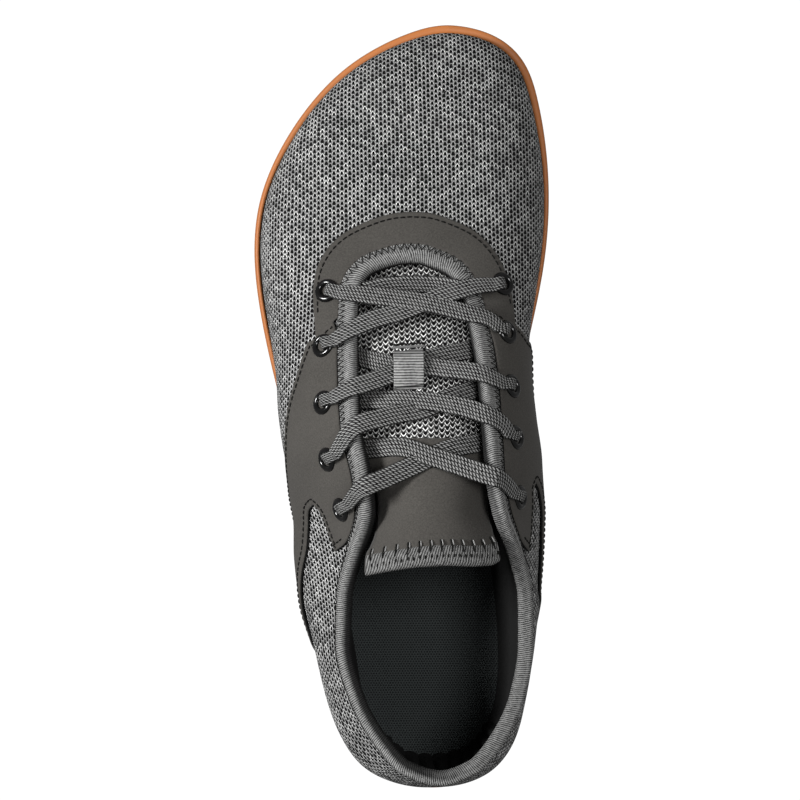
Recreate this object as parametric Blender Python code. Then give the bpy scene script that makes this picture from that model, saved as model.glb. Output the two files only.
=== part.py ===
import math

import bpy
import numpy as np
from mathutils import Vector
from mathutils.geometry import delaunay_2d_cdt
from mathutils.kdtree import KDTree

# Frame: metres, Z up, +Y runs to the toe and +X to the inner side of the foot. This is a left shoe.
# Named sizes that everything else takes its shares from
LENGTH = 0.278
BALL_WIDTH = 0.108
GAP = 0.0003
WALL = 0.002
OVERLAY_LIFT = 2 * GAP
OVERLAY_THICK = 0.001

# Sole levels above the ground, and how far in from the outline each ring of the sole stands
LUG_HEIGHT = 0.002
CUP_FLOOR = 0.006
RIM_LEAN = 0.0004
TREAD_INSET = 0.0075
TOE_SPRING = 0.0055
TOE_SPRING_START = 0.74
HEEL_LIFT = 0.0015
HEEL_LIFT_END = 0.07

INSOLE_THICK = 0.003

# Outline of the sole: share of LENGTH from the heel, and the outer and inner side as shares of BALL_WIDTH
OUTLINE = (
    (0.000, 0.105, 0.105),
    (0.012, -0.050, 0.256),
    (0.035, -0.144, 0.338),
    (0.062, -0.192, 0.384),
    (0.115, -0.238, 0.420),
    (0.170, -0.262, 0.426),
    (0.225, -0.284, 0.416),
    (0.300, -0.302, 0.390),
    (0.380, -0.332, 0.362),
    (0.460, -0.378, 0.368),
    (0.540, -0.430, 0.405),
    (0.620, -0.474, 0.452),
    (0.695, -0.496, 0.488),
    (0.770, -0.478, 0.502),
    (0.840, -0.406, 0.492),
    (0.900, -0.302, 0.465),
    (0.945, -0.185, 0.426),
    (0.975, -0.062, 0.362),
    (0.993, 0.050, 0.272),
    (1.000, 0.155, 0.155),
)

# The rim: share of LENGTH, height on the outer side and on the inner side, and the thickness of its wall
RIM = (
    (0.00, 0.0150, 0.0150, 0.0016),
    (0.05, 0.0145, 0.0145, 0.0016),
    (0.15, 0.0128, 0.0128, 0.0016),
    (0.30, 0.0120, 0.0125, 0.0016),
    (0.45, 0.0120, 0.0130, 0.0016),
    (0.60, 0.0120, 0.0122, 0.0015),
    (0.78, 0.0125, 0.0125, 0.0017),
    (0.88, 0.0140, 0.0138, 0.0024),
    (0.95, 0.0165, 0.0160, 0.0029),
    (1.00, 0.0190, 0.0190, 0.0031),
)

# Crest of the upper, which is the edge of the collar and throat and, ahead of them, the ridge of the vamp.
# Columns: share of LENGTH at the sole, share at the crest, outer x and inner x as shares of BALL_WIDTH,
# height in metres, lean from level in degrees, fall of the ridge
CREST = (
    (0.000, 0.0385, 0.102, 0.102, 0.0700, 86, 0.0),
    (0.020, 0.0515, -0.010, 0.206, 0.0695, 86, 0.0),
    (0.060, 0.0875, -0.098, 0.294, 0.0660, 85, 0.0),
    (0.120, 0.1395, -0.171, 0.358, 0.0635, 84, 0.0),
    (0.200, 0.2050, -0.212, 0.387, 0.0620, 83, 0.0),
    (0.270, 0.2660, -0.207, 0.384, 0.0645, 80, 0.0),
    (0.330, 0.3200, -0.172, 0.344, 0.0715, 72, 0.0),
    (0.390, 0.3740, -0.136, 0.284, 0.0810, 58, 0.0),
    (0.440, 0.4210, -0.148, 0.260, 0.0825, 50, 0.0),
    (0.500, 0.4820, -0.174, 0.246, 0.0780, 42, 0.0),
    (0.560, 0.5360, -0.176, 0.236, 0.0715, 35, 0.0),
    (0.630, 0.5970, -0.174, 0.213, 0.0635, 27, 0.0),
    (0.690, 0.6475, -0.165, 0.181, 0.0575, 20, -0.08),
    (0.730, 0.6710, -0.125, 0.138, 0.0555, 12, -0.20),
    (0.760, 0.6815, -0.060, 0.078, 0.0545, 5, -0.28),
    (0.773, 0.6855, -0.018, 0.046, 0.0541, 2, -0.30),
    (0.785, 0.6865, 0.014, 0.014, 0.0540, 0, -0.31),
    (0.840, 0.7450, 0.023, 0.023, 0.0490, 0, -0.31),
    (0.900, 0.8020, 0.046, 0.046, 0.0445, 0, -0.31),
    (0.950, 0.8490, 0.074, 0.074, 0.0405, 0, -0.31),
    (0.985, 0.8850, 0.100, 0.100, 0.0370, 0, -0.31),
    (1.000, 0.9030, 0.120, 0.120, 0.0350, 0, -0.31),
)
RIDGE_START = 0.785

# Fullness of the wall: share of LENGTH, outer and inner bulge in metres, share of the rise that starts upright,
# share of the span that ends along the crest's lean
FULLNESS = (
    (0.00, 0.0010, 0.0010, 0.45, 0.35),
    (0.05, 0.0070, 0.0030, 0.45, 0.35),
    (0.10, 0.0095, 0.0030, 0.42, 0.35),
    (0.15, 0.0115, 0.0050, 0.40, 0.35),
    (0.20, 0.013, 0.009, 0.39, 0.35),
    (0.25, 0.017, 0.014, 0.38, 0.35),
    (0.31, 0.019, 0.020, 0.38, 0.36),
    (0.37, 0.0155, 0.024, 0.38, 0.38),
    (0.43, 0.0155, 0.022, 0.39, 0.40),
    (0.49, 0.0120, 0.014, 0.42, 0.42),
    (0.55, 0.0050, 0.006, 0.46, 0.42),
    (0.62, 0.001, 0.002, 0.50, 0.44),
    (0.70, 0.000, 0.001, 0.56, 0.48),
    (0.80, 0.000, 0.001, 0.60, 0.56),
    (0.90, 0.000, 0.000, 0.62, 0.58),
    (1.00, 0.000, 0.000, 0.60, 0.55),
)

# Overlay edges as pairs: share of LENGTH at the sole, share of the way up to the crest
QUARTER_OUTER_SIDE = (
    (0.632, 0.885),
    (0.618, 0.82),
    (0.604, 0.782),
    (0.594, 0.705),
    (0.573, 0.66),
    (0.543, 0.60),
    (0.513, 0.54),
    (0.480, 0.48),
    (0.448, 0.413),
    (0.415, 0.33),
    (0.388, 0.24),
    (0.350, 0.14),
    (0.310, 0.06),
    (0.270, 0.02),
    (0.165, 0.02),
    (0.195, 0.19),
    (0.230, 0.28),
    (0.262, 0.36),
    (0.293, 0.44),
    (0.320, 0.50),
    (0.353, 0.515),
    (0.378, 0.545),
    (0.387, 0.60),
    (0.379, 0.65),
    (0.352, 0.72),
    (0.328, 0.80),
)
QUARTER_INNER_SIDE = (
    (0.648, 0.870),
    (0.642, 0.82),
    (0.624, 0.73),
    (0.610, 0.633),
    (0.594, 0.535),
    (0.583, 0.42),
    (0.555, 0.33),
    (0.520, 0.27),
    (0.480, 0.23),
    (0.430, 0.18),
    (0.380, 0.12),
    (0.330, 0.06),
    (0.280, 0.02),
    (0.170, 0.02),
    (0.200, 0.16),
    (0.240, 0.27),
    (0.280, 0.36),
    (0.320, 0.43),
    (0.367, 0.485),
    (0.393, 0.535),
    (0.405, 0.59),
    (0.396, 0.64),
    (0.362, 0.675),
    (0.339, 0.71),
    (0.318, 0.78),
)

# Eyelets: share of LENGTH at the sole and share of the way up to the crest, from the toe end up
EYELETS_OUTER = ((0.672, 0.838), (0.594, 0.820), (0.517, 0.820), (0.448, 0.795), (0.386, 0.828))
EYELETS_INNER = ((0.676, 0.750), (0.609, 0.772), (0.535, 0.785), (0.469, 0.800), (0.393, 0.812))
EYELET_RADIUS = 0.0043
EYELET_HOLE = 0.0020
EYELET_HEIGHT = 0.0011


# Curves through short tables
def ring(along):
    """The angle around the outline at this share of the length, on the outer side."""
    return math.acos(1 - 2 * along)


def around(rows, outer, inner):
    """A closed smooth curve of the ring angle through two columns of a table."""
    knots = [ring(row[0]) for row in rows]
    values = [row[outer] for row in rows]
    for row in reversed(rows[1:-1]):
        knots.append(2 * math.pi - ring(row[0]))
        values.append(row[inner])
    knots = np.array(knots)
    values = np.array(values)
    count = len(knots)
    steps = np.diff(np.append(knots, knots[0] + 2 * math.pi))
    slopes = (np.roll(values, -1) - values) / steps
    matrix = np.zeros((count, count))
    for i in range(count):
        matrix[i, i - 1] += steps[i - 1]
        matrix[i, i] += 2 * (steps[i - 1] + steps[i])
        matrix[i, (i + 1) % count] += steps[i]
    bends = np.linalg.solve(matrix, 6 * (slopes - np.roll(slopes, 1)))

    def curve(angle):
        angle = np.asarray(angle, float) % (2 * math.pi)
        i = np.clip(np.searchsorted(knots, angle, side="right") - 1, 0, count - 1)
        j = (i + 1) % count
        step = steps[i]
        b = (angle - knots[i]) / step
        a = 1 - b
        bend = (a**3 - a) * bends[i] + (b**3 - b) * bends[j]
        return a * values[i] + b * values[j] + bend * step * step / 6

    return curve


def steady(knots, values, level_start=False):
    """A smooth curve that never swings past the values it runs through."""
    knots = np.array(knots, float)
    values = np.array(values, float)
    steps = np.diff(knots)
    slopes = np.diff(values) / steps
    ends = np.zeros(len(knots))
    ends[0] = 0.0 if level_start else slopes[0]
    ends[-1] = slopes[-1]
    for i in range(1, len(knots) - 1):
        if slopes[i - 1] * slopes[i] > 0:
            before = 2 * steps[i] + steps[i - 1]
            after = steps[i] + 2 * steps[i - 1]
            ends[i] = (before + after) / (before / slopes[i - 1] + after / slopes[i])

    def curve(x):
        x = np.clip(np.asarray(x, float), knots[0], knots[-1])
        i = np.clip(np.searchsorted(knots, x, side="right") - 1, 0, len(knots) - 2)
        step = steps[i]
        t = (x - knots[i]) / step
        low = (1 + 2 * t) * (1 - t) ** 2 * values[i] + t * (1 - t) ** 2 * step * ends[i]
        high = t * t * (3 - 2 * t) * values[i + 1] + t * t * (t - 1) * step * ends[i + 1]
        return low + high

    return curve


def sided(rows, outer, inner, level_heel=False):
    """A curve of the ring angle that reads one column on the outer side and another on the inner side."""
    knots = [ring(row[0]) for row in rows]
    outer_curve = steady(knots, [row[outer] for row in rows], level_heel)
    inner_curve = steady(knots, [row[inner] for row in rows], level_heel)

    def curve(angle):
        angle = np.asarray(angle, float) % (2 * math.pi)
        folded = np.minimum(angle, 2 * math.pi - angle)
        return np.where(angle <= math.pi, outer_curve(folded), inner_curve(folded))

    return curve


outline_x = around(OUTLINE, 1, 2)
rim_height = sided(RIM, 1, 2)
rim_wall = sided(RIM, 3, 3)
crest_along = sided(CREST, 1, 1, level_heel=True)
crest_x = sided(CREST, 2, 3)
crest_height = sided(CREST, 4, 4)
crest_lean = sided(CREST, 5, 5)
ridge_fall = sided(CREST, 6, 6)
bulge = sided(FULLNESS, 1, 2)
upright_share = sided(FULLNESS, 3, 3)
crest_share = sided(FULLNESS, 4, 4)


# The form of the shoe
def outline(angle, inset=0.0):
    """Plan point of the outline, this far in, and the outward direction there."""
    angle = np.asarray(angle, float)
    small = 1e-4
    point = np.stack([outline_x(angle) * BALL_WIDTH, -np.cos(angle) * LENGTH / 2], -1)
    run_x = (outline_x(angle + small) - outline_x(angle - small)) * BALL_WIDTH
    run_y = (np.cos(angle - small) - np.cos(angle + small)) * LENGTH / 2
    out = np.stack([-run_y, run_x], -1)
    out /= np.linalg.norm(out, axis=-1, keepdims=True)
    return point - out * np.asarray(inset, float)[..., None], out


def feather(angle):
    """How far in from the outline the upper stands, just inside the rim."""
    return RIM_LEAN + rim_wall(angle) + GAP


def insole_inset(angle):
    return feather(angle) + WALL + 2 * GAP


def spring(y):
    """Rise of the sole's underside towards the toe and, a little, at the very back of the heel."""
    along = np.asarray(y, float) / LENGTH + 0.5
    toe = np.clip((along - TOE_SPRING_START) / (1 - TOE_SPRING_START), 0, 1)
    heel = np.clip(1 - along / HEEL_LIFT_END, 0, 1)
    return TOE_SPRING * toe**2 + HEEL_LIFT * heel**2


def crest(angle):
    x = crest_x(angle) * BALL_WIDTH
    y = (crest_along(angle) - 0.5) * LENGTH
    return np.stack([x, y, crest_height(angle)], -1)


def last(angle, reach):
    """Outer face of the upper: reach runs from 0 at the rim to 1 at the crest."""
    angle = np.asarray(angle, float)
    reach = np.asarray(reach, float)[..., None]
    foot, out = outline(angle, feather(angle))
    start = np.concatenate([foot, rim_height(angle)[..., None]], -1)
    end = crest(angle)
    across = end[..., :2] - start[..., :2]
    distance = np.linalg.norm(across, axis=-1, keepdims=True)
    inward = across / distance
    rise = end[..., 2:] - start[..., 2:]
    lean = np.radians(crest_lean(angle))[..., None]
    climb = np.sin(lean) + ridge_fall(angle)[..., None] * inward[..., 1:]
    arrive = np.concatenate([inward * np.cos(lean), climb], -1)
    span = distance * np.cos(lean) + rise * np.sin(lean)
    swell = np.concatenate([out * bulge(angle)[..., None], upright_share(angle)[..., None] * rise], -1)
    first = start + swell
    second = end - arrive * crest_share(angle)[..., None] * span
    rest = 1 - reach
    return (
        rest**3 * start
        + 3 * rest**2 * reach * first
        + 3 * rest * reach**2 * second
        + reach**3 * end
    )


def last_normal(angle, reach):
    """Unit direction out of the upper's face."""
    small = 1e-3
    angle = np.asarray(angle, float)
    reach = np.asarray(reach, float)
    low = np.clip(reach - small, 0, 1)
    high = np.clip(reach + small, 0, 1)
    up = last(angle, high) - last(angle, low)
    held = np.clip(reach, 0, 1 - small)
    round_way = last(angle + small, held) - last(angle - small, held)
    normal = np.cross(up, round_way)
    return normal / np.linalg.norm(normal, axis=-1, keepdims=True)


def skin(angle, reach, lift):
    """A point this far above the upper's outer face, or below it where lift is negative."""
    on_ridge = (np.asarray(reach) > 0.999) & (folded(angle) >= ring(RIDGE_START) - 1e-9)
    normal = last_normal(angle, reach)
    other = last_normal(2 * math.pi - np.asarray(angle, float), reach)
    both = normal + other
    both /= np.linalg.norm(both, axis=-1, keepdims=True)
    normal = np.where(on_ridge[..., None], both, normal)
    return last(angle, reach) + normal * lift


def folded(angle):
    angle = np.asarray(angle, float) % (2 * math.pi)
    return np.minimum(angle, 2 * math.pi - angle)


# Looks, found by how a piece's name starts: screen colour, roughness and metallic value
LOOKS = (
    ("outsole", (204, 124, 70), 0.55, 0.0),
    ("upper", (138, 138, 137), 0.90, 0.0),
    ("insole", (34, 36, 37), 0.90, 0.0),
    ("tongue", (104, 104, 103), 0.90, 0.0),
    ("edge_binding", (104, 103, 102), 0.85, 0.0),
    ("front_overlay", (86, 82, 78), 0.95, 0.0),
    ("quarter_overlay", (86, 82, 78), 0.95, 0.0),
    ("eyelet", (12, 12, 13), 0.15, 0.0),
    ("lace_keeper", (139, 138, 136), 0.75, 0.0),
    ("lace", (96, 96, 95), 0.85, 0.0),
)


def light_of(level):
    """Linear light of a screen colour's level from 0 to 255."""
    share = level / 255
    return share / 12.92 if share <= 0.04045 else ((share + 0.055) / 1.055) ** 2.4


def material_for(name):
    _, colour, roughness, metallic = next(look for look in LOOKS if name.startswith(look[0]))
    material = bpy.data.materials.new(name)
    material.use_nodes = True
    shader = material.node_tree.nodes["Principled BSDF"]
    shader.inputs["Base Color"].default_value = (*map(light_of, colour), 1.0)
    shader.inputs["Roughness"].default_value = roughness
    shader.inputs["Metallic"].default_value = metallic
    return material


# Mesh helpers
SHARP_EDGE = math.radians(40)


def add_object(name, points, faces):
    mesh = bpy.data.meshes.new(name)
    mesh.from_pydata([tuple(map(float, p)) for p in points], [], faces)
    mesh.validate()
    mesh.shade_smooth()
    mesh.set_sharp_from_angle(angle=SHARP_EDGE)
    mesh.materials.append(material_for(name))
    obj = bpy.data.objects.new(name, mesh)
    bpy.context.scene.collection.objects.link(obj)
    return obj


def both_sides(shares):
    """Ring angles at these shares of the length: outer side, toe, inner side."""
    outer = [ring(share) for share in shares]
    inner = [2 * math.pi - angle for angle in reversed(outer) if 0 < angle < math.pi]
    return np.array(outer + inner)


# Stations around the shoe, close together where the outline or the throat turns
STATIONS = (
    0.0, 0.006, 0.018, 0.038, 0.065, 0.1, 0.14, 0.18, 0.22, 0.26, 0.3, 0.34, 0.38, 0.42, 0.46, 0.5, 0.54,
    0.58, 0.62, 0.655, 0.69, 0.715, 0.735, 0.755, 0.772, 0.785, 0.81, 0.84, 0.87, 0.9, 0.925, 0.95, 0.97,
    0.985, 0.995, 1.0,
)
ANGLES = both_sides(STATIONS)
COUNT = len(ANGLES)


def is_on_ridge(i):
    return folded(ANGLES[i]) >= ring(RIDGE_START) - 1e-9


def mirror_index(i):
    return (COUNT - i) % COUNT


# Tread layout
ROW_SLOPE = 0.08
TREAD_ZONES = (
    # name, share of LENGTH where the zone starts, where it ends, pitch of rows, pitch of lugs
    ("heel", 0.02, 0.365, 0.0104, 0.0062),
    ("arch", 0.365, 0.655, 0.0076, 0.0052),
    ("ball", 0.655, 0.97, 0.0098, 0.0060),
)
ROW_CHANNEL = 0.0020
LUG_CHANNEL = 0.0012
LUG_DRAFT = 0.0004
TOE_WAVES_START = (
    (-0.056, 0.099),
    (-0.020, 0.103),
    (-0.008, 0.109),
    (0.004, 0.117),
    (0.020, 0.1255),
    (0.060, 0.1265),
)
HEEL_WAVES_END = (
    (-0.030, -0.150),
    (-0.008, -0.132),
    (0.000, -0.124),
    (0.010, -0.116),
    (0.025, -0.109),
    (0.038, -0.104),
    (0.060, -0.096),
)
WAVE_PITCH = 0.0052
WAVE_CHANNEL = 0.0014
PLATE_CENTRE = (0.0026, -0.0063)
PLATE_LONG = 0.032
PLATE_WIDE = 0.0085
PLATE_TURN = math.radians(11)
PLATE_MARGIN = 0.0016


def read_line(line, x):
    return float(np.interp(x, [p[0] for p in line], [p[1] for p in line]))


def plate_outline(count, grow=0.0):
    points = []
    for i in range(count):
        angle = 2 * math.pi * i / count
        across = (PLATE_WIDE + grow) * math.cos(angle)
        along = (PLATE_LONG + grow) * math.sin(angle)
        x = PLATE_CENTRE[0] + across * math.cos(PLATE_TURN) - along * math.sin(PLATE_TURN)
        y = PLATE_CENTRE[1] + across * math.sin(PLATE_TURN) + along * math.cos(PLATE_TURN)
        points.append((x, y))
    return points


def inside_plate(x, y, grow):
    dx = x - PLATE_CENTRE[0]
    dy = y - PLATE_CENTRE[1]
    across = dx * math.cos(PLATE_TURN) + dy * math.sin(PLATE_TURN)
    along = -dx * math.sin(PLATE_TURN) + dy * math.cos(PLATE_TURN)
    return (across / (PLATE_WIDE + grow)) ** 2 + (along / (PLATE_LONG + grow)) ** 2 < 1


def inside_polygon(polygon, x, y):
    inside = False
    for (x0, y0), (x1, y1) in zip(polygon, polygon[1:] + polygon[:1]):
        if (y0 > y) != (y1 > y) and x < (x1 - x0) * (y - y0) / (y1 - y0) + x0:
            inside = not inside
    return inside


def lug_triangles(border):
    """Plan triangles of the lugs: rows of alternate up and down triangles inside the border."""
    lugs = []
    for _, start, end, row_pitch, lug_pitch in TREAD_ZONES:
        first = (start - 0.5) * LENGTH
        rows = int((end - start) * LENGTH / row_pitch + 0.5)
        half = lug_pitch - LUG_CHANNEL / 2
        tall = row_pitch - ROW_CHANNEL
        for row in range(rows):
            middle = first + (row + 0.5) * (end - start) * LENGTH / rows
            for column in range(-11, 12):
                x = column * lug_pitch + (row % 2) * lug_pitch
                y = middle + ROW_SLOPE * x
                way = 1 if column % 2 else -1
                base_y = y - way * tall / 2
                corners = [(x - way * half, base_y), (x + way * half, base_y), (x, y + way * tall / 2)]
                if keeps_lug(corners, border):
                    lugs.append(corners)
    return lugs


def keeps_lug(corners, border):
    for x, y in corners:
        if not inside_polygon(border, x, y):
            return False
        if inside_plate(x, y, PLATE_MARGIN):
            return False
        if y > read_line(TOE_WAVES_START, x) - 0.001:
            return False
        if y < read_line(HEEL_WAVES_END, x) + 0.001:
            return False
    for i in range(3):
        x = (corners[i][0] + corners[i - 1][0]) / 2
        y = (corners[i][1] + corners[i - 1][1]) / 2
        if inside_plate(x, y, PLATE_MARGIN):
            return False
    return True


def wave_bars(border):
    """Long curved lands of the toe and heel, as plan polygons clipped to the border."""
    bars = []
    for line, way, count in ((TOE_WAVES_START, 1, 6), (HEEL_WAVES_END, -1, 5)):
        for k in range(count):
            near = 0.0008 + k * WAVE_PITCH
            far = near + WAVE_PITCH - WAVE_CHANNEL
            lower = []
            upper = []
            for x in np.linspace(-0.054, 0.054, 37):
                base = read_line(line, x)
                low = base + way * near
                high = base + way * far
                if inside_polygon(border, x, low) and inside_polygon(border, x, high):
                    lower.append((x, low))
                    upper.append((x, high))
            if len(lower) > 3:
                keep = list(range(0, len(lower) - 1, 3)) + [len(lower) - 1]
                lower = [lower[i] for i in keep]
                upper = [upper[i] for i in keep]
                bar = lower + upper[::-1]
                bars.append(bar if way > 0 else bar[::-1])
    return bars


def shrink(polygon, by):
    """The polygon with each corner moved in along the bisector of its edges."""
    moved = []
    count = len(polygon)
    for i in range(count):
        here = Vector(polygon[i])
        to_before = (Vector(polygon[i - 1]) - here).normalized()
        to_after = (Vector(polygon[(i + 1) % count]) - here).normalized()
        left = Vector((-to_after.y, to_after.x))
        half = (1 + to_before.dot(to_after)) / 2
        turn = math.sqrt(max(1 - half, 0.05))
        way = to_before + to_after
        if way.length < 1e-6:
            way = left
        way = way.normalized()
        if way.dot(left) < 0:
            way = -way
        moved.append(tuple(here + way * by / turn))
    return moved


def build_outsole():
    """The sole as one cup: lugs, rounded edge, rim and cup floor."""
    # Rings from the tread's border up the outside, over the rim and down to the cup floor
    rings = []
    rings.append((TREAD_INSET, 0.0020, False))
    rings.append((0.0036, 0.0030, False))
    rings.append((0.0012, 0.0056, False))
    rings.append((0.0, 0.0095, False))
    rings.append((RIM_LEAN, None, True))
    rings.append((RIM_LEAN + rim_wall(ANGLES), None, True))
    rings.append((RIM_LEAN + rim_wall(ANGLES), CUP_FLOOR, False))
    points = []
    for inset, height, at_rim in rings:
        plan, _ = outline(ANGLES, inset)
        level = rim_height(ANGLES) if at_rim else height + spring(plan[:, 1])
        points.extend(np.column_stack([plan, level]))
    faces = []
    for r in range(len(rings) - 1):
        for i in range(COUNT):
            j = (i + 1) % COUNT
            faces.append((r * COUNT + i, (r + 1) * COUNT + i, (r + 1) * COUNT + j, r * COUNT + j))
    top = (len(rings) - 1) * COUNT
    faces.extend(strips(top, up=True))

    # Underside: the ground between the lugs, then each lug's sides and its worn face
    border = [tuple(p[:2]) for p in points[:COUNT]]
    shapes = lug_triangles(border) + wave_bars(border) + [plate_outline(20)]
    corners = list(border)
    loops = [list(range(COUNT))[::-1]]
    for shape in shapes:
        loops.append(list(range(len(corners), len(corners) + len(shape))))
        corners.extend(shape)
    found = delaunay_2d_cdt([Vector(c) for c in corners], [], loops, 1, 1e-7)
    places = []
    for place, sources in zip(found[0], found[3]):
        known = [s for s in sources if s < COUNT]
        if known:
            places.append(known[0])
        else:
            places.append(len(points))
            points.append((place.x, place.y, LUG_HEIGHT + float(spring(place.y))))
    by_corner = {}
    for place, sources in zip(places, found[3]):
        for source in sources:
            by_corner[source] = place
    for face, owners in zip(found[2], found[5]):
        if any(owner > 0 for owner in owners):
            continue
        faces.append(tuple(places[i] for i in reversed(face)))
    for loop, shape in zip(loops[1:], shapes):
        base = [by_corner[i] for i in loop]
        foot = len(points)
        for x, y in shrink(shape, LUG_DRAFT):
            points.append((x, y, float(spring(y))))
        count = len(base)
        for i in range(count):
            j = (i + 1) % count
            faces.append((base[j], base[i], foot + i, foot + j))
        if count == 3:
            faces.append((foot + 2, foot + 1, foot))
        elif count == 20:
            faces.append(tuple(foot + i for i in reversed(range(count))))
        else:
            half = count // 2
            for i in range(half - 1):
                faces.append((foot + i, foot + count - 1 - i, foot + count - 2 - i, foot + i + 1))
    return add_object("outsole", points, faces)


def strips(start, up):
    """Faces that close a ring of COUNT points with bands from the outer side to the inner side."""
    faces = []
    for i in range(COUNT // 2):
        a = start + i
        b = start + i + 1
        c = start + mirror_index(i + 1)
        d = start + mirror_index(i)
        face = [a, b, c, d]
        kept = []
        for corner in face:
            if corner not in kept:
                kept.append(corner)
        faces.append(tuple(kept[::-1]) if up else tuple(kept))
    return faces


UPPER_ROWS = 8


def build_upper():
    """The upper as one shell with a real wall, open at the collar, the throat and underneath."""
    reaches = np.linspace(0, 1, UPPER_ROWS + 1)
    points = []
    index = {}

    def place(layer, row, i):
        if row == UPPER_ROWS and is_on_ridge(i):
            i = min(i, mirror_index(i))
        key = (layer, row, i)
        if key not in index:
            index[key] = len(points)
            angle = ANGLES[i]
            if row < 0:
                plan, _ = outline(angle, feather(angle) + layer * WALL)
                points.append((plan[0], plan[1], CUP_FLOOR + GAP + float(spring(plan[1]))))
            elif row == 0:
                plan, _ = outline(angle, feather(angle) + layer * WALL)
                points.append((plan[0], plan[1], float(rim_height(angle))))
            else:
                points.append(tuple(skin(angle, reaches[row], -layer * WALL)))
        return index[key]

    faces = []
    for i in range(COUNT):
        j = (i + 1) % COUNT
        for row in range(-1, UPPER_ROWS):
            outside = (place(0, row, i), place(0, row + 1, i), place(0, row + 1, j), place(0, row, j))
            inside = (place(1, row, j), place(1, row + 1, j), place(1, row + 1, i), place(1, row, i))
            faces.append(outside)
            faces.append(inside)
        faces.append((place(0, -1, i), place(0, -1, j), place(1, -1, j), place(1, -1, i)))
        if not (is_on_ridge(i) and is_on_ridge(j)):
            rim = (place(0, UPPER_ROWS, i), place(1, UPPER_ROWS, i), place(1, UPPER_ROWS, j), place(0, UPPER_ROWS, j))
            faces.append(rim)
    return add_object("upper", points, faces)


def build_insole():
    plan, _ = outline(ANGLES, insole_inset(ANGLES))
    points = []
    for height in (CUP_FLOOR + GAP, CUP_FLOOR + GAP + INSOLE_THICK):
        points.extend(np.column_stack([plan, height + spring(plan[:, 1])]))
    faces = strips(0, up=False) + strips(COUNT, up=True)
    for i in range(COUNT):
        j = (i + 1) % COUNT
        faces.append((i, COUNT + i, COUNT + j, j))
    return add_object("insole", points, faces)


# Tongue: share of LENGTH, outer x and inner x as shares of BALL_WIDTH, height at the edges, height at the middle
TONGUE = (
    (0.300, -0.146, 0.282, 0.0820, 0.0925),
    (0.318, -0.142, 0.284, 0.0803, 0.0913),
    (0.332, -0.124, 0.279, 0.0787, 0.0904),
    (0.347, -0.110, 0.267, 0.0762, 0.0890),
    (0.380, -0.106, 0.256, 0.0695, 0.0860),
    (0.430, -0.140, 0.262, 0.0705, 0.0815),
    (0.480, -0.190, 0.265, 0.0655, 0.0765),
    (0.540, -0.200, 0.260, 0.0595, 0.0695),
    (0.600, -0.200, 0.240, 0.0530, 0.0620),
    (0.650, -0.195, 0.215, 0.0465, 0.0515),
    (0.700, -0.170, 0.190, 0.0420, 0.0455),
    (0.735, -0.150, 0.180, 0.0395, 0.0430),
)
TONGUE_THICK = 0.003
TONGUE_ROWS = 14
TONGUE_COLUMNS = 10

tongue_outer = steady([r[0] for r in TONGUE], [r[1] for r in TONGUE])
tongue_inner = steady([r[0] for r in TONGUE], [r[2] for r in TONGUE])
tongue_edge = steady([r[0] for r in TONGUE], [r[3] for r in TONGUE])
tongue_middle = steady([r[0] for r in TONGUE], [r[4] for r in TONGUE])


def tongue_point(along, across, drop=0.0):
    """Top face of the tongue: across runs from -1 at the outer edge to 1 at the inner edge."""
    left = float(tongue_outer(along))
    right = float(tongue_inner(along))
    x = (left + right) / 2 + across * (right - left) / 2
    low = float(tongue_edge(along))
    high = float(tongue_middle(along))
    z = low + (high - low) * (1 - abs(across) ** 2.2)
    return (x * BALL_WIDTH, (along - 0.5) * LENGTH, z - drop)


def build_tongue():
    points = []
    start = TONGUE[0][0]
    end = TONGUE[-1][0]
    for drop in (0.0, TONGUE_THICK):
        for r in range(TONGUE_ROWS + 1):
            for c in range(TONGUE_COLUMNS + 1):
                along = start + (end - start) * r / TONGUE_ROWS
                across = -1 + 2 * c / TONGUE_COLUMNS
                points.append(tongue_point(along, across, drop))
    wide = TONGUE_COLUMNS + 1
    layer = wide * (TONGUE_ROWS + 1)
    faces = []
    for r in range(TONGUE_ROWS):
        for c in range(TONGUE_COLUMNS):
            a = r * wide + c
            quad = (a, a + 1, a + wide + 1, a + wide)
            faces.append(quad)
            faces.append(tuple(layer + i for i in reversed(quad)))
    border = [c for c in range(wide)]
    border += [r * wide + TONGUE_COLUMNS for r in range(1, TONGUE_ROWS + 1)]
    border += [TONGUE_ROWS * wide + c for c in reversed(range(TONGUE_COLUMNS))]
    border += [r * wide for r in reversed(range(1, TONGUE_ROWS))]
    for a, b in zip(border, border[1:] + border[:1]):
        faces.append((b, a, layer + a, layer + b))
    return add_object("tongue", points, faces)


# The edge of the opening, walked from the front of the throat along the outer side, round the heel and back
EDGE_ANGLES = np.linspace(ring(RIDGE_START), -ring(RIDGE_START), 1201)
EDGE_POINTS = crest(EDGE_ANGLES)
EDGE_STEPS = np.linalg.norm(np.diff(EDGE_POINTS, axis=0), axis=1)
EDGE_LENGTHS = np.concatenate([[0.0], np.cumsum(EDGE_STEPS)])
EDGE_LENGTH = float(EDGE_LENGTHS[-1])


def edge_angle(distance):
    return np.interp(np.asarray(distance) % EDGE_LENGTH, EDGE_LENGTHS, EDGE_ANGLES)


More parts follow.
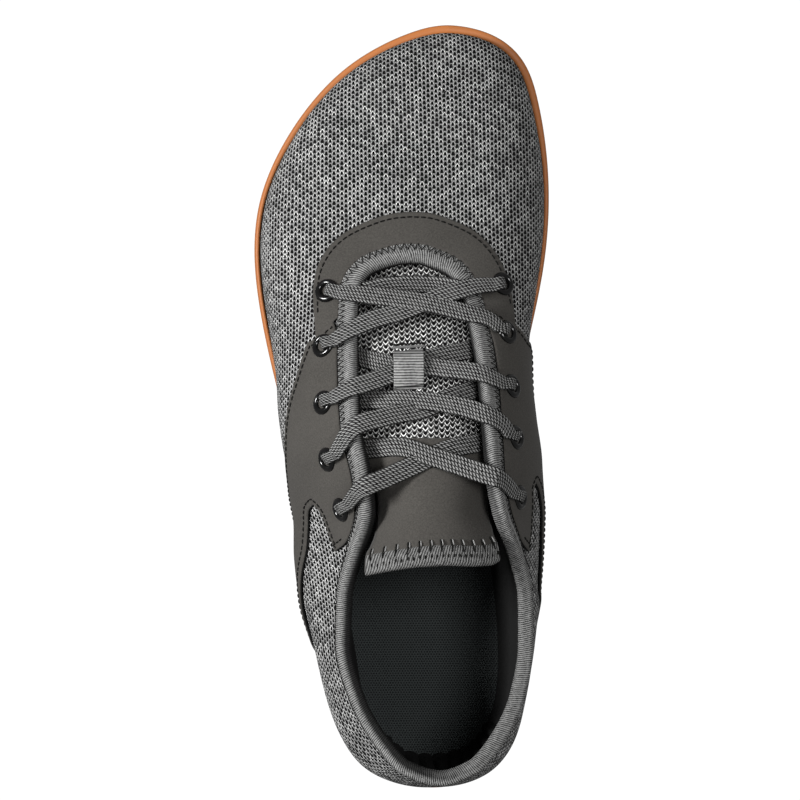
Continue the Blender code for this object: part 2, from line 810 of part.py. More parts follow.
def edge_frame(distance):
    """Point on the opening's edge, the direction away from the opening in the upper's face, and the face's normal."""
    distance = np.asarray(distance, float)
    angle = edge_angle(distance)
    point = crest(angle)
    small = 0.0012
    along = crest(edge_angle(distance + small)) - crest(edge_angle(distance - small))
    along /= np.linalg.norm(along, axis=-1, keepdims=True)
    near_tip = np.minimum(distance % EDGE_LENGTH, EDGE_LENGTH - distance % EDGE_LENGTH)
    share = np.clip(1 - near_tip / 0.004, 0, 1)[..., None]
    own = last_normal(angle, np.ones_like(angle))
    other = last_normal(2 * math.pi - angle, np.ones_like(angle))
    normal = own + other * share
    normal -= along * np.sum(normal * along, axis=-1, keepdims=True)
    normal /= np.linalg.norm(normal, axis=-1, keepdims=True)
    return point, np.cross(along, normal), normal


def surface_tree():
    angles, reaches = np.meshgrid(np.linspace(0, 2 * math.pi, 361), np.linspace(0, 1, 41), indexing="ij")
    places = np.column_stack([angles.ravel(), reaches.ravel()])
    points = last(places[:, 0], places[:, 1])
    tree = KDTree(len(points))
    for i, point in enumerate(points):
        tree.insert(point, i)
    tree.balance()
    return tree, places


TREE, TREE_PLACES = surface_tree()


def nearest_on_upper(points):
    """Ring angle and reach of the spot on the upper's face nearest to each point."""
    places = np.array([TREE_PLACES[TREE.find(point)[1]] for point in points])
    angle, reach = settle(points, places[:, 0], places[:, 1])
    miss = np.linalg.norm(last(angle, reach) - points, axis=1)
    across, low = settle(points, 2 * math.pi - angle, np.full_like(reach, 0.98))
    better = (reach > 0.97) & (np.linalg.norm(last(across, low) - points, axis=1) < miss)
    return np.where(better, across, angle), np.where(better, low, reach)


def settle(points, angle, reach):
    """Moves each spot over the face towards its point."""
    small = 1e-4
    for _ in range(5):
        here = last(angle, reach)
        miss = points - here
        round_way = (last(angle + small, reach) - last(angle - small, reach)) / (2 * small)
        up = (last(angle, reach + small) - last(angle, reach - small)) / (2 * small)
        a = np.sum(round_way * round_way, axis=1)
        b = np.sum(round_way * up, axis=1)
        c = np.sum(up * up, axis=1)
        e = np.sum(round_way * miss, axis=1)
        f = np.sum(up * miss, axis=1)
        scale = np.maximum(a * c - b * b, 1e-16)
        angle = angle + np.clip((c * e - b * f) / scale, -0.1, 0.1)
        reach = np.clip(reach + np.clip((a * f - b * e) / scale, -0.1, 0.1), 0, 1)
    return angle, reach


def beside_edge(distance, away, lift):
    """Points this far from the opening's edge, measured over the upper's face, and this far above it."""
    distance = np.asarray(distance, float)
    away = np.broadcast_to(np.asarray(away, float), distance.shape)
    point, outward, normal = edge_frame(distance)
    flat = point + outward * away[..., None]
    lifted = flat + normal * lift
    on_face = away > 1e-6
    if np.any(on_face):
        angle, reach = nearest_on_upper(flat[on_face])
        lifted[on_face] = skin(angle, reach, lift)
    return lifted


def volume_of(points, faces):
    total = 0.0
    for face in faces:
        for i in range(1, len(face) - 1):
            a, b, c = points[face[0]], points[face[i]], points[face[i + 1]]
            total += float(np.dot(a, np.cross(b, c)))
    return total / 6


def closed_loft(name, sections, cyclic):
    """A body through closed sections of the same count."""
    count = len(sections[0])
    points = [point for section in sections for point in section]
    faces = []
    rows = len(sections)
    for r in range(rows if cyclic else rows - 1):
        n = (r + 1) % rows
        for i in range(count):
            j = (i + 1) % count
            faces.append((r * count + i, r * count + j, n * count + j, n * count + i))
    if not cyclic:
        faces.append(tuple(reversed(range(count))))
        faces.append(tuple((rows - 1) * count + i for i in range(count)))
    if volume_of(points, faces) < 0:
        faces = [face[::-1] for face in faces]
    return add_object(name, points, faces)


# Binding: distance from the edge and height above the upper's face, around its section
BINDING_OUT = 0.0055
BINDING_SECTION = (
    (BINDING_OUT, 0.0006),
    (0.0050, 0.0013),
    (0.0010, 0.0016),
    (-0.0013, 0.0005),
    (-0.0015, -0.0018),
    (0.0004, -0.0033),
    (0.0024, -0.0032),
    (0.0024, -0.0025),
    (-0.0006, -0.0025),
    (-0.0006, 0.0006),
)
BINDING_STATIONS = 84


def build_binding():
    distances = np.linspace(0, EDGE_LENGTH, BINDING_STATIONS, endpoint=False)
    rings = [beside_edge(distances, away, lift) for away, lift in BINDING_SECTION]
    sections = [[ring_points[i] for ring_points in rings] for i in range(len(distances))]
    return closed_loft("edge_binding", sections, True)


# Front overlay: a band round the front of the throat, from the binding outwards
FRONT_WIDTH = (
    # distance from the tip of the throat along the edge, inner side negative, and width from the edge
    (-0.038, 0.0205),
    (-0.028, 0.0195),
    (-0.018, 0.0185),
    (0.000, 0.0175),
    (0.018, 0.0170),
    (0.028, 0.0158),
    (0.040, 0.0150),
)
FRONT_BACK_SLANT = 0.45
OVERLAY_START = BINDING_OUT + GAP


def build_front_overlay():
    walk = np.array([row[0] for row in FRONT_WIDTH])
    width = np.array([row[1] for row in FRONT_WIDTH])
    inner_end = -0.0262
    outer_end = 0.0262
    across_count = 5
    along_count = 22
    layers = []
    for lift in (OVERLAY_LIFT, OVERLAY_LIFT + OVERLAY_THICK):
        layer = []
        for k in range(along_count + 1):
            row = []
            for m in range(across_count):
                share = m / (across_count - 1)
                grow = share * 0.0115 * FRONT_BACK_SLANT
                start = inner_end - grow
                end = outer_end + grow * 1.5
                place = start + (end - start) * k / along_count
                reach_out = OVERLAY_START + share * (np.interp(place, walk, width) - OVERLAY_START)
                row.append(beside_edge(np.array([place]), reach_out, lift)[0])
            layer.append(row)
        layers.append(layer)
    sections = []
    for k in range(along_count + 1):
        sections.append(layers[0][k] + layers[1][k][::-1])
    return closed_loft("front_overlay", sections, False)


# Quarter overlays: shapes in ring angle and reach, laid over the upper and given a thickness
def flow(side, along):
    angle = ring(along)
    return angle if side == "outer" else 2 * math.pi - angle


def beside_binding(side, start, end):
    """Ring angle and reach just outside the binding, between two shares of LENGTH at the crest."""
    shares = np.linspace(start, end, 9)
    table = np.array([row[1] for row in CREST])
    knots = np.array([row[0] for row in CREST])
    angles = np.array([flow(side, float(np.interp(share, table, knots))) for share in shares])
    walk = np.interp(-(angles if side == "outer" else angles - 2 * math.pi), -EDGE_ANGLES, EDGE_LENGTHS)
    point, outward, _ = edge_frame(walk)
    angle, reach = nearest_on_upper(point + outward * OVERLAY_START)
    return list(zip(angle.tolist(), reach.tolist()))


def overlay_border(pairs, side, start, end):
    """The overlay's corners with more points put in on long edges."""
    corners = [(flow(side, along), reach) for along, reach in pairs]
    corners += beside_binding(side, start, end)
    full = []
    for (a0, r0), (a1, r1) in zip(corners, corners[1:] + corners[:1]):
        steps = max(1, int(math.hypot((a1 - a0) / 0.16, (r1 - r0) / 0.14) + 0.5))
        for k in range(steps):
            full.append((a0 + (a1 - a0) * k / steps, r0 + (r1 - r0) * k / steps))
    return full


def signed_area(points):
    total = 0.0
    for (x0, y0), (x1, y1) in zip(points, points[1:] + points[:1]):
        total += x0 * y1 - x1 * y0
    return total / 2


def clear_of(border, angle, reach, margin):
    return all(math.hypot(a - angle, r - reach) >= margin for a, r in border)


def build_quarter_overlay(name, border):
    """Fills the border, drapes it over the upper and closes it into a thin solid."""
    if signed_area(border) < 0:
        border = border[::-1]
    spots = []
    for angle in ANGLES:
        for reach in np.linspace(0, 1, UPPER_ROWS + 1)[1:-1]:
            if inside_polygon(border, angle, reach) and clear_of(border, angle, reach, 0.03):
                spots.append((float(angle), float(reach)))
    corners = border + spots
    found = delaunay_2d_cdt([Vector(c) for c in corners], [], [list(range(len(border)))], 1, 1e-7)
    flat = [(p.x, p.y) for p in found[0]]
    count = len(flat)
    angles = np.array([p[0] for p in flat])
    reaches = np.array([p[1] for p in flat])
    points = list(skin(angles, reaches, OVERLAY_LIFT)) + list(skin(angles, reaches, OVERLAY_LIFT + OVERLAY_THICK))
    faces = []
    edges = set()
    for face in found[2]:
        turned = tuple(face)
        if signed_area([flat[i] for i in turned]) > 0:
            turned = turned[::-1]
        faces.append(tuple(count + i for i in turned))
        faces.append(tuple(reversed(turned)))
        edges.update(zip(turned, turned[1:] + turned[:1]))
    for a, b in edges:
        if (b, a) not in edges:
            faces.append((a, b, count + b, count + a))
    return add_object(name, points, faces)


# Eyelets stand on the overlays
EYELET_SIDES = 14


def eyelet_frame(side, along, reach):
    angle = np.array([flow(side, along)])
    reach = np.array([reach])
    base = last(angle, reach)[0]
    normal = last_normal(angle, reach)[0]
    first = np.cross(normal, (0.0, 1.0, 0.0))
    first /= np.linalg.norm(first)
    return base, first, np.cross(normal, first), normal


def build_eyelet(name, side, along, reach):
    base, first, second, normal = eyelet_frame(side, along, reach)
    low = OVERLAY_LIFT + OVERLAY_THICK + GAP
    profile = (
        (EYELET_HOLE, low),
        (EYELET_RADIUS, low),
        (EYELET_RADIUS - 0.0006, low + 0.8 * EYELET_HEIGHT),
        (0.5 * (EYELET_HOLE + EYELET_RADIUS), low + EYELET_HEIGHT),
        (EYELET_HOLE, low + 0.5 * EYELET_HEIGHT),
    )
    sections = []
    for k in range(EYELET_SIDES):
        angle = 2 * math.pi * k / EYELET_SIDES
        way = first * math.cos(angle) + second * math.sin(angle)
        sections.append([base + way * radius + normal * height for radius, height in profile])
    return closed_loft(name, sections, True)


# Lace: flat ribbons as plan points, x as a share of BALL_WIDTH and y as a share of LENGTH.
# Each pair crosses over the tongue and is joined into one body, and the cross bar lies alone.
LACE_WIDTH = 0.0068
LACE_THICK = 0.0014
LACE_CLEAR = 0.0005
LACE_STEPS = 12
LACES = (
    (
        "lace_row_1",
        ((-0.255, 0.645), (-0.111, 0.639), (0.059, 0.630), (0.183, 0.618), (0.265, 0.609), (0.308, 0.594)),
        (
            (0.303, 0.654),
            (0.227, 0.652),
            (0.143, 0.644),
            (-0.029, 0.618),
            (-0.112, 0.609),
            (-0.196, 0.594),
            (-0.263, 0.576),
        ),
    ),
    (
        "lace_row_2",
        ((-0.142, 0.561), (-0.057, 0.553), (0.047, 0.551), (0.136, 0.547), (0.218, 0.543), (0.318, 0.527)),
        ((0.190, 0.571), (0.048, 0.559), (-0.052, 0.542), (-0.115, 0.533), (-0.198, 0.522), (-0.262, 0.507)),
    ),
    (
        "lace_row_3",
        ((-0.136, 0.509), (-0.034, 0.510), (0.092, 0.506), (0.214, 0.495), (0.295, 0.479), (0.323, 0.463)),
        ((0.200, 0.521), (0.137, 0.513), (0.050, 0.499), (-0.076, 0.489), (-0.177, 0.476), (-0.244, 0.438)),
    ),
    (
        "lace_row_4",
        ((-0.108, 0.450), (-0.037, 0.452), (0.076, 0.439), (0.210, 0.422), (0.292, 0.410), (0.340, 0.391)),
        ((0.216, 0.456), (0.130, 0.450), (0.005, 0.429), (-0.078, 0.415), (-0.159, 0.400), (-0.206, 0.376)),
    ),
)
LACE_BAR = ((-0.116, 0.646), (-0.069, 0.649), (0.017, 0.651), (0.092, 0.650), (0.138, 0.648))
KEEPER_X = (-0.050, 0.046)
KEEPER_Y = (0.522, 0.577)
KEEPER_LEG = 0.0015
KEEPER_THICK = 0.0010


def plan_of(share):
    return np.array([share[0] * BALL_WIDTH, (share[1] - 0.5) * LENGTH])


def path_through(points, count):
    """Evenly spaced plan points on a smooth curve through these."""
    points = np.array(points)
    steps = np.linalg.norm(np.diff(points, axis=0), axis=1)
    walk = np.concatenate([[0.0], np.cumsum(steps)])
    places = np.linspace(0, walk[-1], count)
    tangents = np.gradient(points, walk, axis=0)
    i = np.clip(np.searchsorted(walk, places, side="right") - 1, 0, len(walk) - 2)
    step = (walk[i + 1] - walk[i])[:, None]
    t = (places - walk[i])[:, None] / step
    low = (1 + 2 * t) * (1 - t) ** 2 * points[i] + t * (1 - t) ** 2 * step * tangents[i]
    high = t * t * (3 - 2 * t) * points[i + 1] + t * t * (t - 1) * step * tangents[i + 1]
    return low + high


def upper_height(plan, lift):
    """Height, straight above each plan point, of a layer this thick on the upper's face."""
    guess = np.column_stack([plan, np.full(len(plan), 0.085)])
    angle, reach = nearest_on_upper(guess)
    small = 1e-4
    for _ in range(8):
        here = last(angle, reach)
        miss = plan - here[:, :2]
        round_way = (last(angle + small, reach) - last(angle - small, reach))[:, :2] / (2 * small)
        up = (last(angle, reach + small) - last(angle, reach - small))[:, :2] / (2 * small)
        scale = round_way[:, 0] * up[:, 1] - round_way[:, 1] * up[:, 0]
        scale = np.where(np.abs(scale) < 1e-9, 1e-9, scale)
        turn = (miss[:, 0] * up[:, 1] - miss[:, 1] * up[:, 0]) / scale
        climb = (round_way[:, 0] * miss[:, 1] - round_way[:, 1] * miss[:, 0]) / scale
        angle = angle + np.clip(turn, -0.05, 0.05)
        reach = np.clip(reach + np.clip(climb, -0.05, 0.05), 0, 1)
    facing_up = np.maximum(last_normal(angle, reach)[:, 2], 0.35)
    return last(angle, reach)[:, 2] + lift / facing_up


EDGE_TABLE = sorted((row[1], row[2], row[3], row[4]) for row in CREST)


def lace_support(plan):
    """Height of what lies under the lace at each plan point."""
    shares = plan[:, 1] / LENGTH + 0.5
    knots = [row[0] for row in EDGE_TABLE]
    outer_edge = np.interp(shares, knots, [row[1] for row in EDGE_TABLE]) * BALL_WIDTH
    inner_edge = np.interp(shares, knots, [row[2] for row in EDGE_TABLE]) * BALL_WIDTH
    edge_z = np.interp(shares, knots, [row[3] for row in EDGE_TABLE])
    beyond = np.maximum(outer_edge - plan[:, 0], plan[:, 0] - inner_edge)
    heights = upper_height(plan, OVERLAY_LIFT + OVERLAY_THICK + GAP + EYELET_HEIGHT)
    for i in range(len(plan)):
        if beyond[i] < -0.0019:
            left = float(tongue_outer(shares[i])) * BALL_WIDTH
            right = float(tongue_inner(shares[i])) * BALL_WIDTH
            across = np.clip((2 * plan[i, 0] - left - right) / (right - left), -1, 1)
            heights[i] = tongue_point(shares[i], across)[2]
        elif beyond[i] < 0.0:
            heights[i] = edge_z[i] + 0.0016
    return heights


def taut(walk, heights):
    """The heights of a line pulled tight over these supports."""
    kept = [0]
    for i in range(1, len(walk)):
        while len(kept) > 1:
            a, b = kept[-2], kept[-1]
            rise_ab = (heights[b] - heights[a]) * (walk[i] - walk[a])
            rise_ai = (heights[i] - heights[a]) * (walk[b] - walk[a])
            if rise_ab > rise_ai:
                break
            kept.pop()
        kept.append(i)
    return np.interp(walk, walk[kept], heights[kept])


def ribbon_sections(shares, steps):
    """Cross sections of one flat ribbon pulled over the tongue and the throat's edges."""
    plan = path_through([plan_of(share) for share in shares], steps + 1)
    along = np.gradient(plan, axis=0)
    along /= np.linalg.norm(along, axis=1, keepdims=True)
    side = np.column_stack([-along[:, 1], along[:, 0]])
    walk = np.concatenate([[0.0], np.cumsum(np.linalg.norm(np.diff(plan, axis=0), axis=1))])
    half = LACE_WIDTH / 2
    middle = taut(walk, lace_support(plan))
    left = taut(walk, lace_support(plan + side * half))
    right = taut(walk, lace_support(plan - side * half))
    lift = np.maximum(middle, (left + right) / 2) + LACE_CLEAR + LACE_THICK / 2
    tilt = np.clip((left - right) / 2, -0.0022, 0.0022)
    sections = []
    for i in range(len(plan)):
        centre = np.array([plan[i, 0], plan[i, 1], lift[i]])
        across = np.array([side[i, 0] * half, side[i, 1] * half, tilt[i]])
        up = np.array([0.0, 0.0, LACE_THICK / 2])
        sections.append([centre + across + up, centre - across + up, centre - across - up, centre + across - up])
    return sections


def build_lace():
    tops = []
    for name, first, second in LACES:
        sections = ribbon_sections(first, LACE_STEPS)
        ribbon = closed_loft(name, sections, False)
        others = ribbon_sections(second, LACE_STEPS)
        other = closed_loft(name + "_second", others, False)
        other.hide_render = True
        other.display_type = "WIRE"
        join = ribbon.modifiers.new("join", "BOOLEAN")
        join.operation = "UNION"
        join.solver = "EXACT"
        join.object = other
        if name == "lace_row_2":
            tops = [point for section in sections + others for point in section]
    closed_loft("lace_bar", ribbon_sections(LACE_BAR, 6), False)
    return tops


def build_keeper(tops):
    """The webbing loop on the tongue: a strap over the lace with a leg at its toe end."""
    low_x = KEEPER_X[0] * BALL_WIDTH
    high_x = KEEPER_X[1] * BALL_WIDTH
    back_y = (KEEPER_Y[0] - 0.5) * LENGTH
    front_y = (KEEPER_Y[1] - 0.5) * LENGTH
    near = [p[2] for p in tops if low_x - 0.004 < p[0] < high_x + 0.004]
    under = max(near) + GAP
    foot = max(tongue_point(KEEPER_Y[1], 0)[2], tongue_point(KEEPER_Y[1] - 0.006, 0)[2]) + GAP
    slope = 0.0030
    profile = (
        (back_y, under + slope),
        (front_y - KEEPER_LEG, under),
        (front_y - KEEPER_LEG, foot),
        (front_y, foot),
        (front_y, under + KEEPER_THICK),
        (back_y, under + slope + KEEPER_THICK),
    )
    sections = [[np.array([x, y, z]) for y, z in profile] for x in (low_x, high_x)]
    return closed_loft("lace_keeper", sections, False)


def main():
    for obj in list(bpy.data.objects):
        bpy.data.objects.remove(obj)
    build_outsole()
    build_upper()
    build_insole()
    build_tongue()
    build_binding()
    build_front_overlay()
    build_quarter_overlay("quarter_overlay_outer", overlay_border(QUARTER_OUTER_SIDE, "outer", 0.325, 0.595))
    build_quarter_overlay("quarter_overlay_inner", overlay_border(QUARTER_INNER_SIDE, "inner", 0.325, 0.61))
    for side, spots in (("outer", EYELETS_OUTER), ("inner", EYELETS_INNER)):
        for number, (along, reach) in enumerate(spots, 1):
            build_eyelet(f"eyelet_{side}_{number}", side, along, reach)
    build_keeper(build_lace())


main()
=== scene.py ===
import math

import bmesh
import bpy
import numpy as np
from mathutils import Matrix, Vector
from mathutils.geometry import delaunay_2d_cdt
from mathutils.kdtree import KDTree


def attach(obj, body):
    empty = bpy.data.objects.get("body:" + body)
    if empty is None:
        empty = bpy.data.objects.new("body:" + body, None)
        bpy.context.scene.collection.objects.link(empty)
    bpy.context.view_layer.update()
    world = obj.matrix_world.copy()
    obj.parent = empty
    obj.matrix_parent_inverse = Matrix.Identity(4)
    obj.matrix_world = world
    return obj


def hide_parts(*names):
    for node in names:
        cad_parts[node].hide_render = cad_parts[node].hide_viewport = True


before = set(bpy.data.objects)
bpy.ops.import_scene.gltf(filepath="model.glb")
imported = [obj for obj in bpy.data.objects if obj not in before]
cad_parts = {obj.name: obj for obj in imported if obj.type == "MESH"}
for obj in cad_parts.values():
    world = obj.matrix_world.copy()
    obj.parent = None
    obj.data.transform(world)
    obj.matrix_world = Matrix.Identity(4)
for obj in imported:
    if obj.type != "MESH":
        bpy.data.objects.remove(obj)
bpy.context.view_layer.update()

# Frame: metres, Z up, +Y runs to the toe and +X to the inner side of the foot. This is a left shoe.
LENGTH = 0.278
BALL_WIDTH = 0.108
GAP = 0.0003
WALL = 0.002
OVERLAY_LIFT = 2 * GAP
OVERLAY_THICK = 0.001

# Sole levels above the ground, and how far in from the outline each ring of the sole stands
CUP_FLOOR = 0.006
RIM_LEAN = 0.0004
TREAD_INSET = 0.0075
TOE_SPRING = 0.0055
TOE_SPRING_START = 0.74
HEEL_LIFT = 0.0015
HEEL_LIFT_END = 0.07

INSOLE_THICK = 0.003

# Outline of the sole: share of LENGTH from the heel, and the outer and inner side as shares of BALL_WIDTH
OUTLINE = (
    (0.000, 0.105, 0.105),
    (0.012, -0.050, 0.256),
    (0.035, -0.144, 0.338),
    (0.062, -0.192, 0.384),
    (0.115, -0.238, 0.420),
    (0.170, -0.262, 0.426),
    (0.225, -0.284, 0.416),
    (0.300, -0.302, 0.390),
    (0.380, -0.332, 0.362),
    (0.460, -0.378, 0.368),
    (0.540, -0.430, 0.405),
    (0.620, -0.474, 0.452),
    (0.695, -0.496, 0.488),
    (0.770, -0.478, 0.502),
    (0.840, -0.406, 0.492),
    (0.900, -0.302, 0.465),
    (0.945, -0.185, 0.426),
    (0.975, -0.062, 0.362),
    (0.993, 0.050, 0.272),
    (1.000, 0.155, 0.155),
)

# The rim: share of LENGTH, height on the outer side and on the inner side, and the thickness of its wall
RIM = (
    (0.00, 0.0150, 0.0150, 0.0016),
    (0.05, 0.0145, 0.0145, 0.0016),
    (0.15, 0.0128, 0.0128, 0.0016),
    (0.30, 0.0120, 0.0125, 0.0016),
    (0.45, 0.0120, 0.0130, 0.0016),
    (0.60, 0.0120, 0.0122, 0.0015),
    (0.78, 0.0125, 0.0125, 0.0017),
    (0.88, 0.0140, 0.0138, 0.0024),
    (0.95, 0.0165, 0.0160, 0.0029),
    (1.00, 0.0190, 0.0190, 0.0031),
)

# Crest of the upper, which is the edge of the collar and throat and, ahead of them, the ridge of the vamp.
# Columns: share of LENGTH at the sole, share at the crest, outer x and inner x as shares of BALL_WIDTH,
# height in metres, lean from level in degrees, fall of the ridge
CREST = (
    (0.000, 0.0385, 0.102, 0.102, 0.0700, 86, 0.0),
    (0.020, 0.0515, -0.010, 0.206, 0.0695, 86, 0.0),
    (0.060, 0.0875, -0.098, 0.294, 0.0660, 85, 0.0),
    (0.120, 0.1395, -0.171, 0.358, 0.0635, 84, 0.0),
    (0.200, 0.2050, -0.212, 0.387, 0.0620, 83, 0.0),
    (0.270, 0.2660, -0.207, 0.384, 0.0645, 80, 0.0),
    (0.330, 0.3200, -0.172, 0.344, 0.0715, 72, 0.0),
    (0.390, 0.3740, -0.136, 0.284, 0.0810, 58, 0.0),
    (0.440, 0.4210, -0.148, 0.260, 0.0825, 50, 0.0),
    (0.500, 0.4820, -0.174, 0.246, 0.0780, 42, 0.0),
    (0.560, 0.5360, -0.176, 0.236, 0.0715, 35, 0.0),
    (0.630, 0.5970, -0.174, 0.213, 0.0635, 27, 0.0),
    (0.690, 0.6475, -0.165, 0.181, 0.0575, 20, -0.08),
    (0.730, 0.6710, -0.125, 0.138, 0.0555, 12, -0.20),
    (0.760, 0.6815, -0.060, 0.078, 0.0545, 5, -0.28),
    (0.773, 0.6855, -0.018, 0.046, 0.0541, 2, -0.30),
    (0.785, 0.6865, 0.014, 0.014, 0.0540, 0, -0.31),
    (0.840, 0.7450, 0.023, 0.023, 0.0490, 0, -0.31),
    (0.900, 0.8020, 0.046, 0.046, 0.0445, 0, -0.31),
    (0.950, 0.8490, 0.074, 0.074, 0.0405, 0, -0.31),
    (0.985, 0.8850, 0.100, 0.100, 0.0370, 0, -0.31),
    (1.000, 0.9030, 0.120, 0.120, 0.0350, 0, -0.31),
)
RIDGE_START = 0.785

# Fullness of the wall: share of LENGTH, outer and inner bulge in metres, share of the rise that starts
# upright, share of the span that ends along the crest's lean. The knit swells a little more over the rim at
# the toe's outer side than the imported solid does.
FULLNESS = (
    (0.00, 0.0010, 0.0010, 0.45, 0.35),
    (0.05, 0.0070, 0.0030, 0.45, 0.35),
    (0.10, 0.0095, 0.0030, 0.42, 0.35),
    (0.15, 0.0115, 0.0050, 0.40, 0.35),
    (0.20, 0.013, 0.009, 0.39, 0.35),
    (0.25, 0.017, 0.014, 0.38, 0.35),
    (0.31, 0.019, 0.020, 0.38, 0.36),
    (0.37, 0.0155, 0.024, 0.38, 0.38),
    (0.43, 0.0155, 0.022, 0.39, 0.40),
    (0.49, 0.0120, 0.014, 0.42, 0.42),
    (0.55, 0.0050, 0.006, 0.46, 0.42),
    (0.62, 0.001, 0.002, 0.50, 0.44),
    (0.70, 0.000, 0.001, 0.56, 0.48),
    (0.80, 0.002, 0.001, 0.60, 0.56),
    (0.90, 0.0055, 0.001, 0.62, 0.58),
    (1.00, 0.0015, 0.0015, 0.60, 0.55),
)

# Overlay edges as pairs: share of LENGTH at the sole, share of the way up to the crest
QUARTER_OUTER_SIDE = (
    (0.632, 0.885),
    (0.618, 0.82),
    (0.604, 0.782),
    (0.594, 0.705),
    (0.573, 0.66),
    (0.543, 0.60),
    (0.513, 0.54),
    (0.480, 0.48),
    (0.448, 0.413),
    (0.415, 0.33),
    (0.388, 0.24),
    (0.350, 0.14),
    (0.310, 0.06),
    (0.270, 0.02),
    (0.165, 0.02),
    (0.195, 0.19),
    (0.230, 0.28),
    (0.262, 0.36),
    (0.293, 0.44),
    (0.320, 0.50),
    (0.353, 0.515),
    (0.378, 0.545),
    (0.387, 0.60),
    (0.379, 0.65),
    (0.352, 0.72),
    (0.328, 0.80),
)
QUARTER_INNER_SIDE = (
    (0.648, 0.870),
    (0.642, 0.82),
    (0.624, 0.73),
    (0.610, 0.633),
    (0.594, 0.535),
    (0.583, 0.42),
    (0.555, 0.33),
    (0.520, 0.27),
    (0.480, 0.23),
    (0.430, 0.18),
    (0.380, 0.12),
    (0.330, 0.06),
    (0.280, 0.02),
    (0.170, 0.02),
    (0.200, 0.16),
    (0.240, 0.27),
    (0.280, 0.36),
    (0.320, 0.43),
    (0.367, 0.485),
    (0.393, 0.535),
    (0.405, 0.59),
    (0.396, 0.64),
    (0.362, 0.675),
    (0.339, 0.71),
    (0.318, 0.78),
)

# Eyelets: share of LENGTH at the sole and share of the way up to the crest, from the toe end up
EYELETS_OUTER = ((0.672, 0.838), (0.594, 0.820), (0.517, 0.820), (0.448, 0.795), (0.386, 0.828))
EYELETS_INNER = ((0.676, 0.750), (0.609, 0.772), (0.535, 0.785), (0.469, 0.800), (0.393, 0.812))
EYELET_HEIGHT = 0.0011


# Small helpers
def unit(vectors):
    return vectors / np.maximum(np.linalg.norm(vectors, axis=-1, keepdims=True), 1e-12)


def lengths_along(points):
    steps = np.linalg.norm(np.diff(points, axis=0), axis=1)
    return np.concatenate([[0.0], np.cumsum(steps)])


def columns(rows, *numbers):
    return [[row[number] for row in rows] for number in numbers]


def hermite(t, step, before, after, slope_before, slope_after):
    """A smooth span between two values that has these slopes at its ends."""
    low = (1 + 2 * t) * (1 - t) ** 2 * before + t * (1 - t) ** 2 * step * slope_before
    high = t * t * (3 - 2 * t) * after + t * t * (t - 1) * step * slope_after
    return low + high


# Curves through short tables
def ring(along):
    """The angle around the outline at this share of the length, on the outer side."""
    return math.acos(1 - 2 * along)


def folded(angle):
    """The same place's angle on the outer side."""
    angle = np.asarray(angle, float) % (2 * math.pi)
    return np.minimum(angle, 2 * math.pi - angle)


def over_ridge(angles):
    """Whether each angle lies where the crest is the ridge of the toe."""
    return folded(angles) >= ring(RIDGE_START) - 1e-9


def around(rows, outer, inner):
    """A closed smooth curve of the ring angle through two columns of a table."""
    knots = [ring(row[0]) for row in rows]
    values = [row[outer] for row in rows]
    for row in reversed(rows[1:-1]):
        knots.append(2 * math.pi - ring(row[0]))
        values.append(row[inner])
    knots = np.array(knots)
    values = np.array(values)
    count = len(knots)
    steps = np.diff(np.append(knots, knots[0] + 2 * math.pi))
    slopes = (np.roll(values, -1) - values) / steps
    matrix = np.zeros((count, count))
    for i in range(count):
        matrix[i, i - 1] += steps[i - 1]
        matrix[i, i] += 2 * (steps[i - 1] + steps[i])
        matrix[i, (i + 1) % count] += steps[i]
    bends = np.linalg.solve(matrix, 6 * (slopes - np.roll(slopes, 1)))

    def curve(angle):
        angle = np.asarray(angle, float) % (2 * math.pi)
        i = np.clip(np.searchsorted(knots, angle, side="right") - 1, 0, count - 1)
        j = (i + 1) % count
        step = steps[i]
        b = (angle - knots[i]) / step
        a = 1 - b
        bend = (a**3 - a) * bends[i] + (b**3 - b) * bends[j]
        return a * values[i] + b * values[j] + bend * step * step / 6

    return curve


def steady(knots, values, level_start=False):
    """A smooth curve that never swings past the values it runs through."""
    knots = np.array(knots, float)
    values = np.array(values, float)
    steps = np.diff(knots)
    slopes = np.diff(values) / steps
    ends = np.zeros(len(knots))
    ends[0] = 0.0 if level_start else slopes[0]
    ends[-1] = slopes[-1]
    for i in range(1, len(knots) - 1):
        if slopes[i - 1] * slopes[i] > 0:
            before = 2 * steps[i] + steps[i - 1]
            after = steps[i] + 2 * steps[i - 1]
            ends[i] = (before + after) / (before / slopes[i - 1] + after / slopes[i])

    def curve(x):
        x = np.clip(np.asarray(x, float), knots[0], knots[-1])
        i = np.clip(np.searchsorted(knots, x, side="right") - 1, 0, len(knots) - 2)
        step = steps[i]
        t = (x - knots[i]) / step
        return hermite(t, step, values[i], values[i + 1], ends[i], ends[i + 1])

    return curve


def sided(rows, outer, inner, level_heel=False):
    """A curve of the ring angle that reads one column on the outer side and another on the inner side."""
    knots = [ring(row[0]) for row in rows]
    outer_curve, inner_curve = (steady(knots, values, level_heel) for values in columns(rows, outer, inner))

    def curve(angle):
        on_outer = np.asarray(angle, float) % (2 * math.pi) <= math.pi
        return np.where(on_outer, outer_curve(folded(angle)), inner_curve(folded(angle)))

    return curve


outline_x = around(OUTLINE, 1, 2)
rim_height = sided(RIM, 1, 2)
rim_wall = sided(RIM, 3, 3)
crest_along = sided(CREST, 1, 1, level_heel=True)
crest_x = sided(CREST, 2, 3)
crest_height = sided(CREST, 4, 4)
crest_lean = sided(CREST, 5, 5)
ridge_fall = sided(CREST, 6, 6)
bulge = sided(FULLNESS, 1, 2)
upright_share = sided(FULLNESS, 3, 3)
crest_share = sided(FULLNESS, 4, 4)


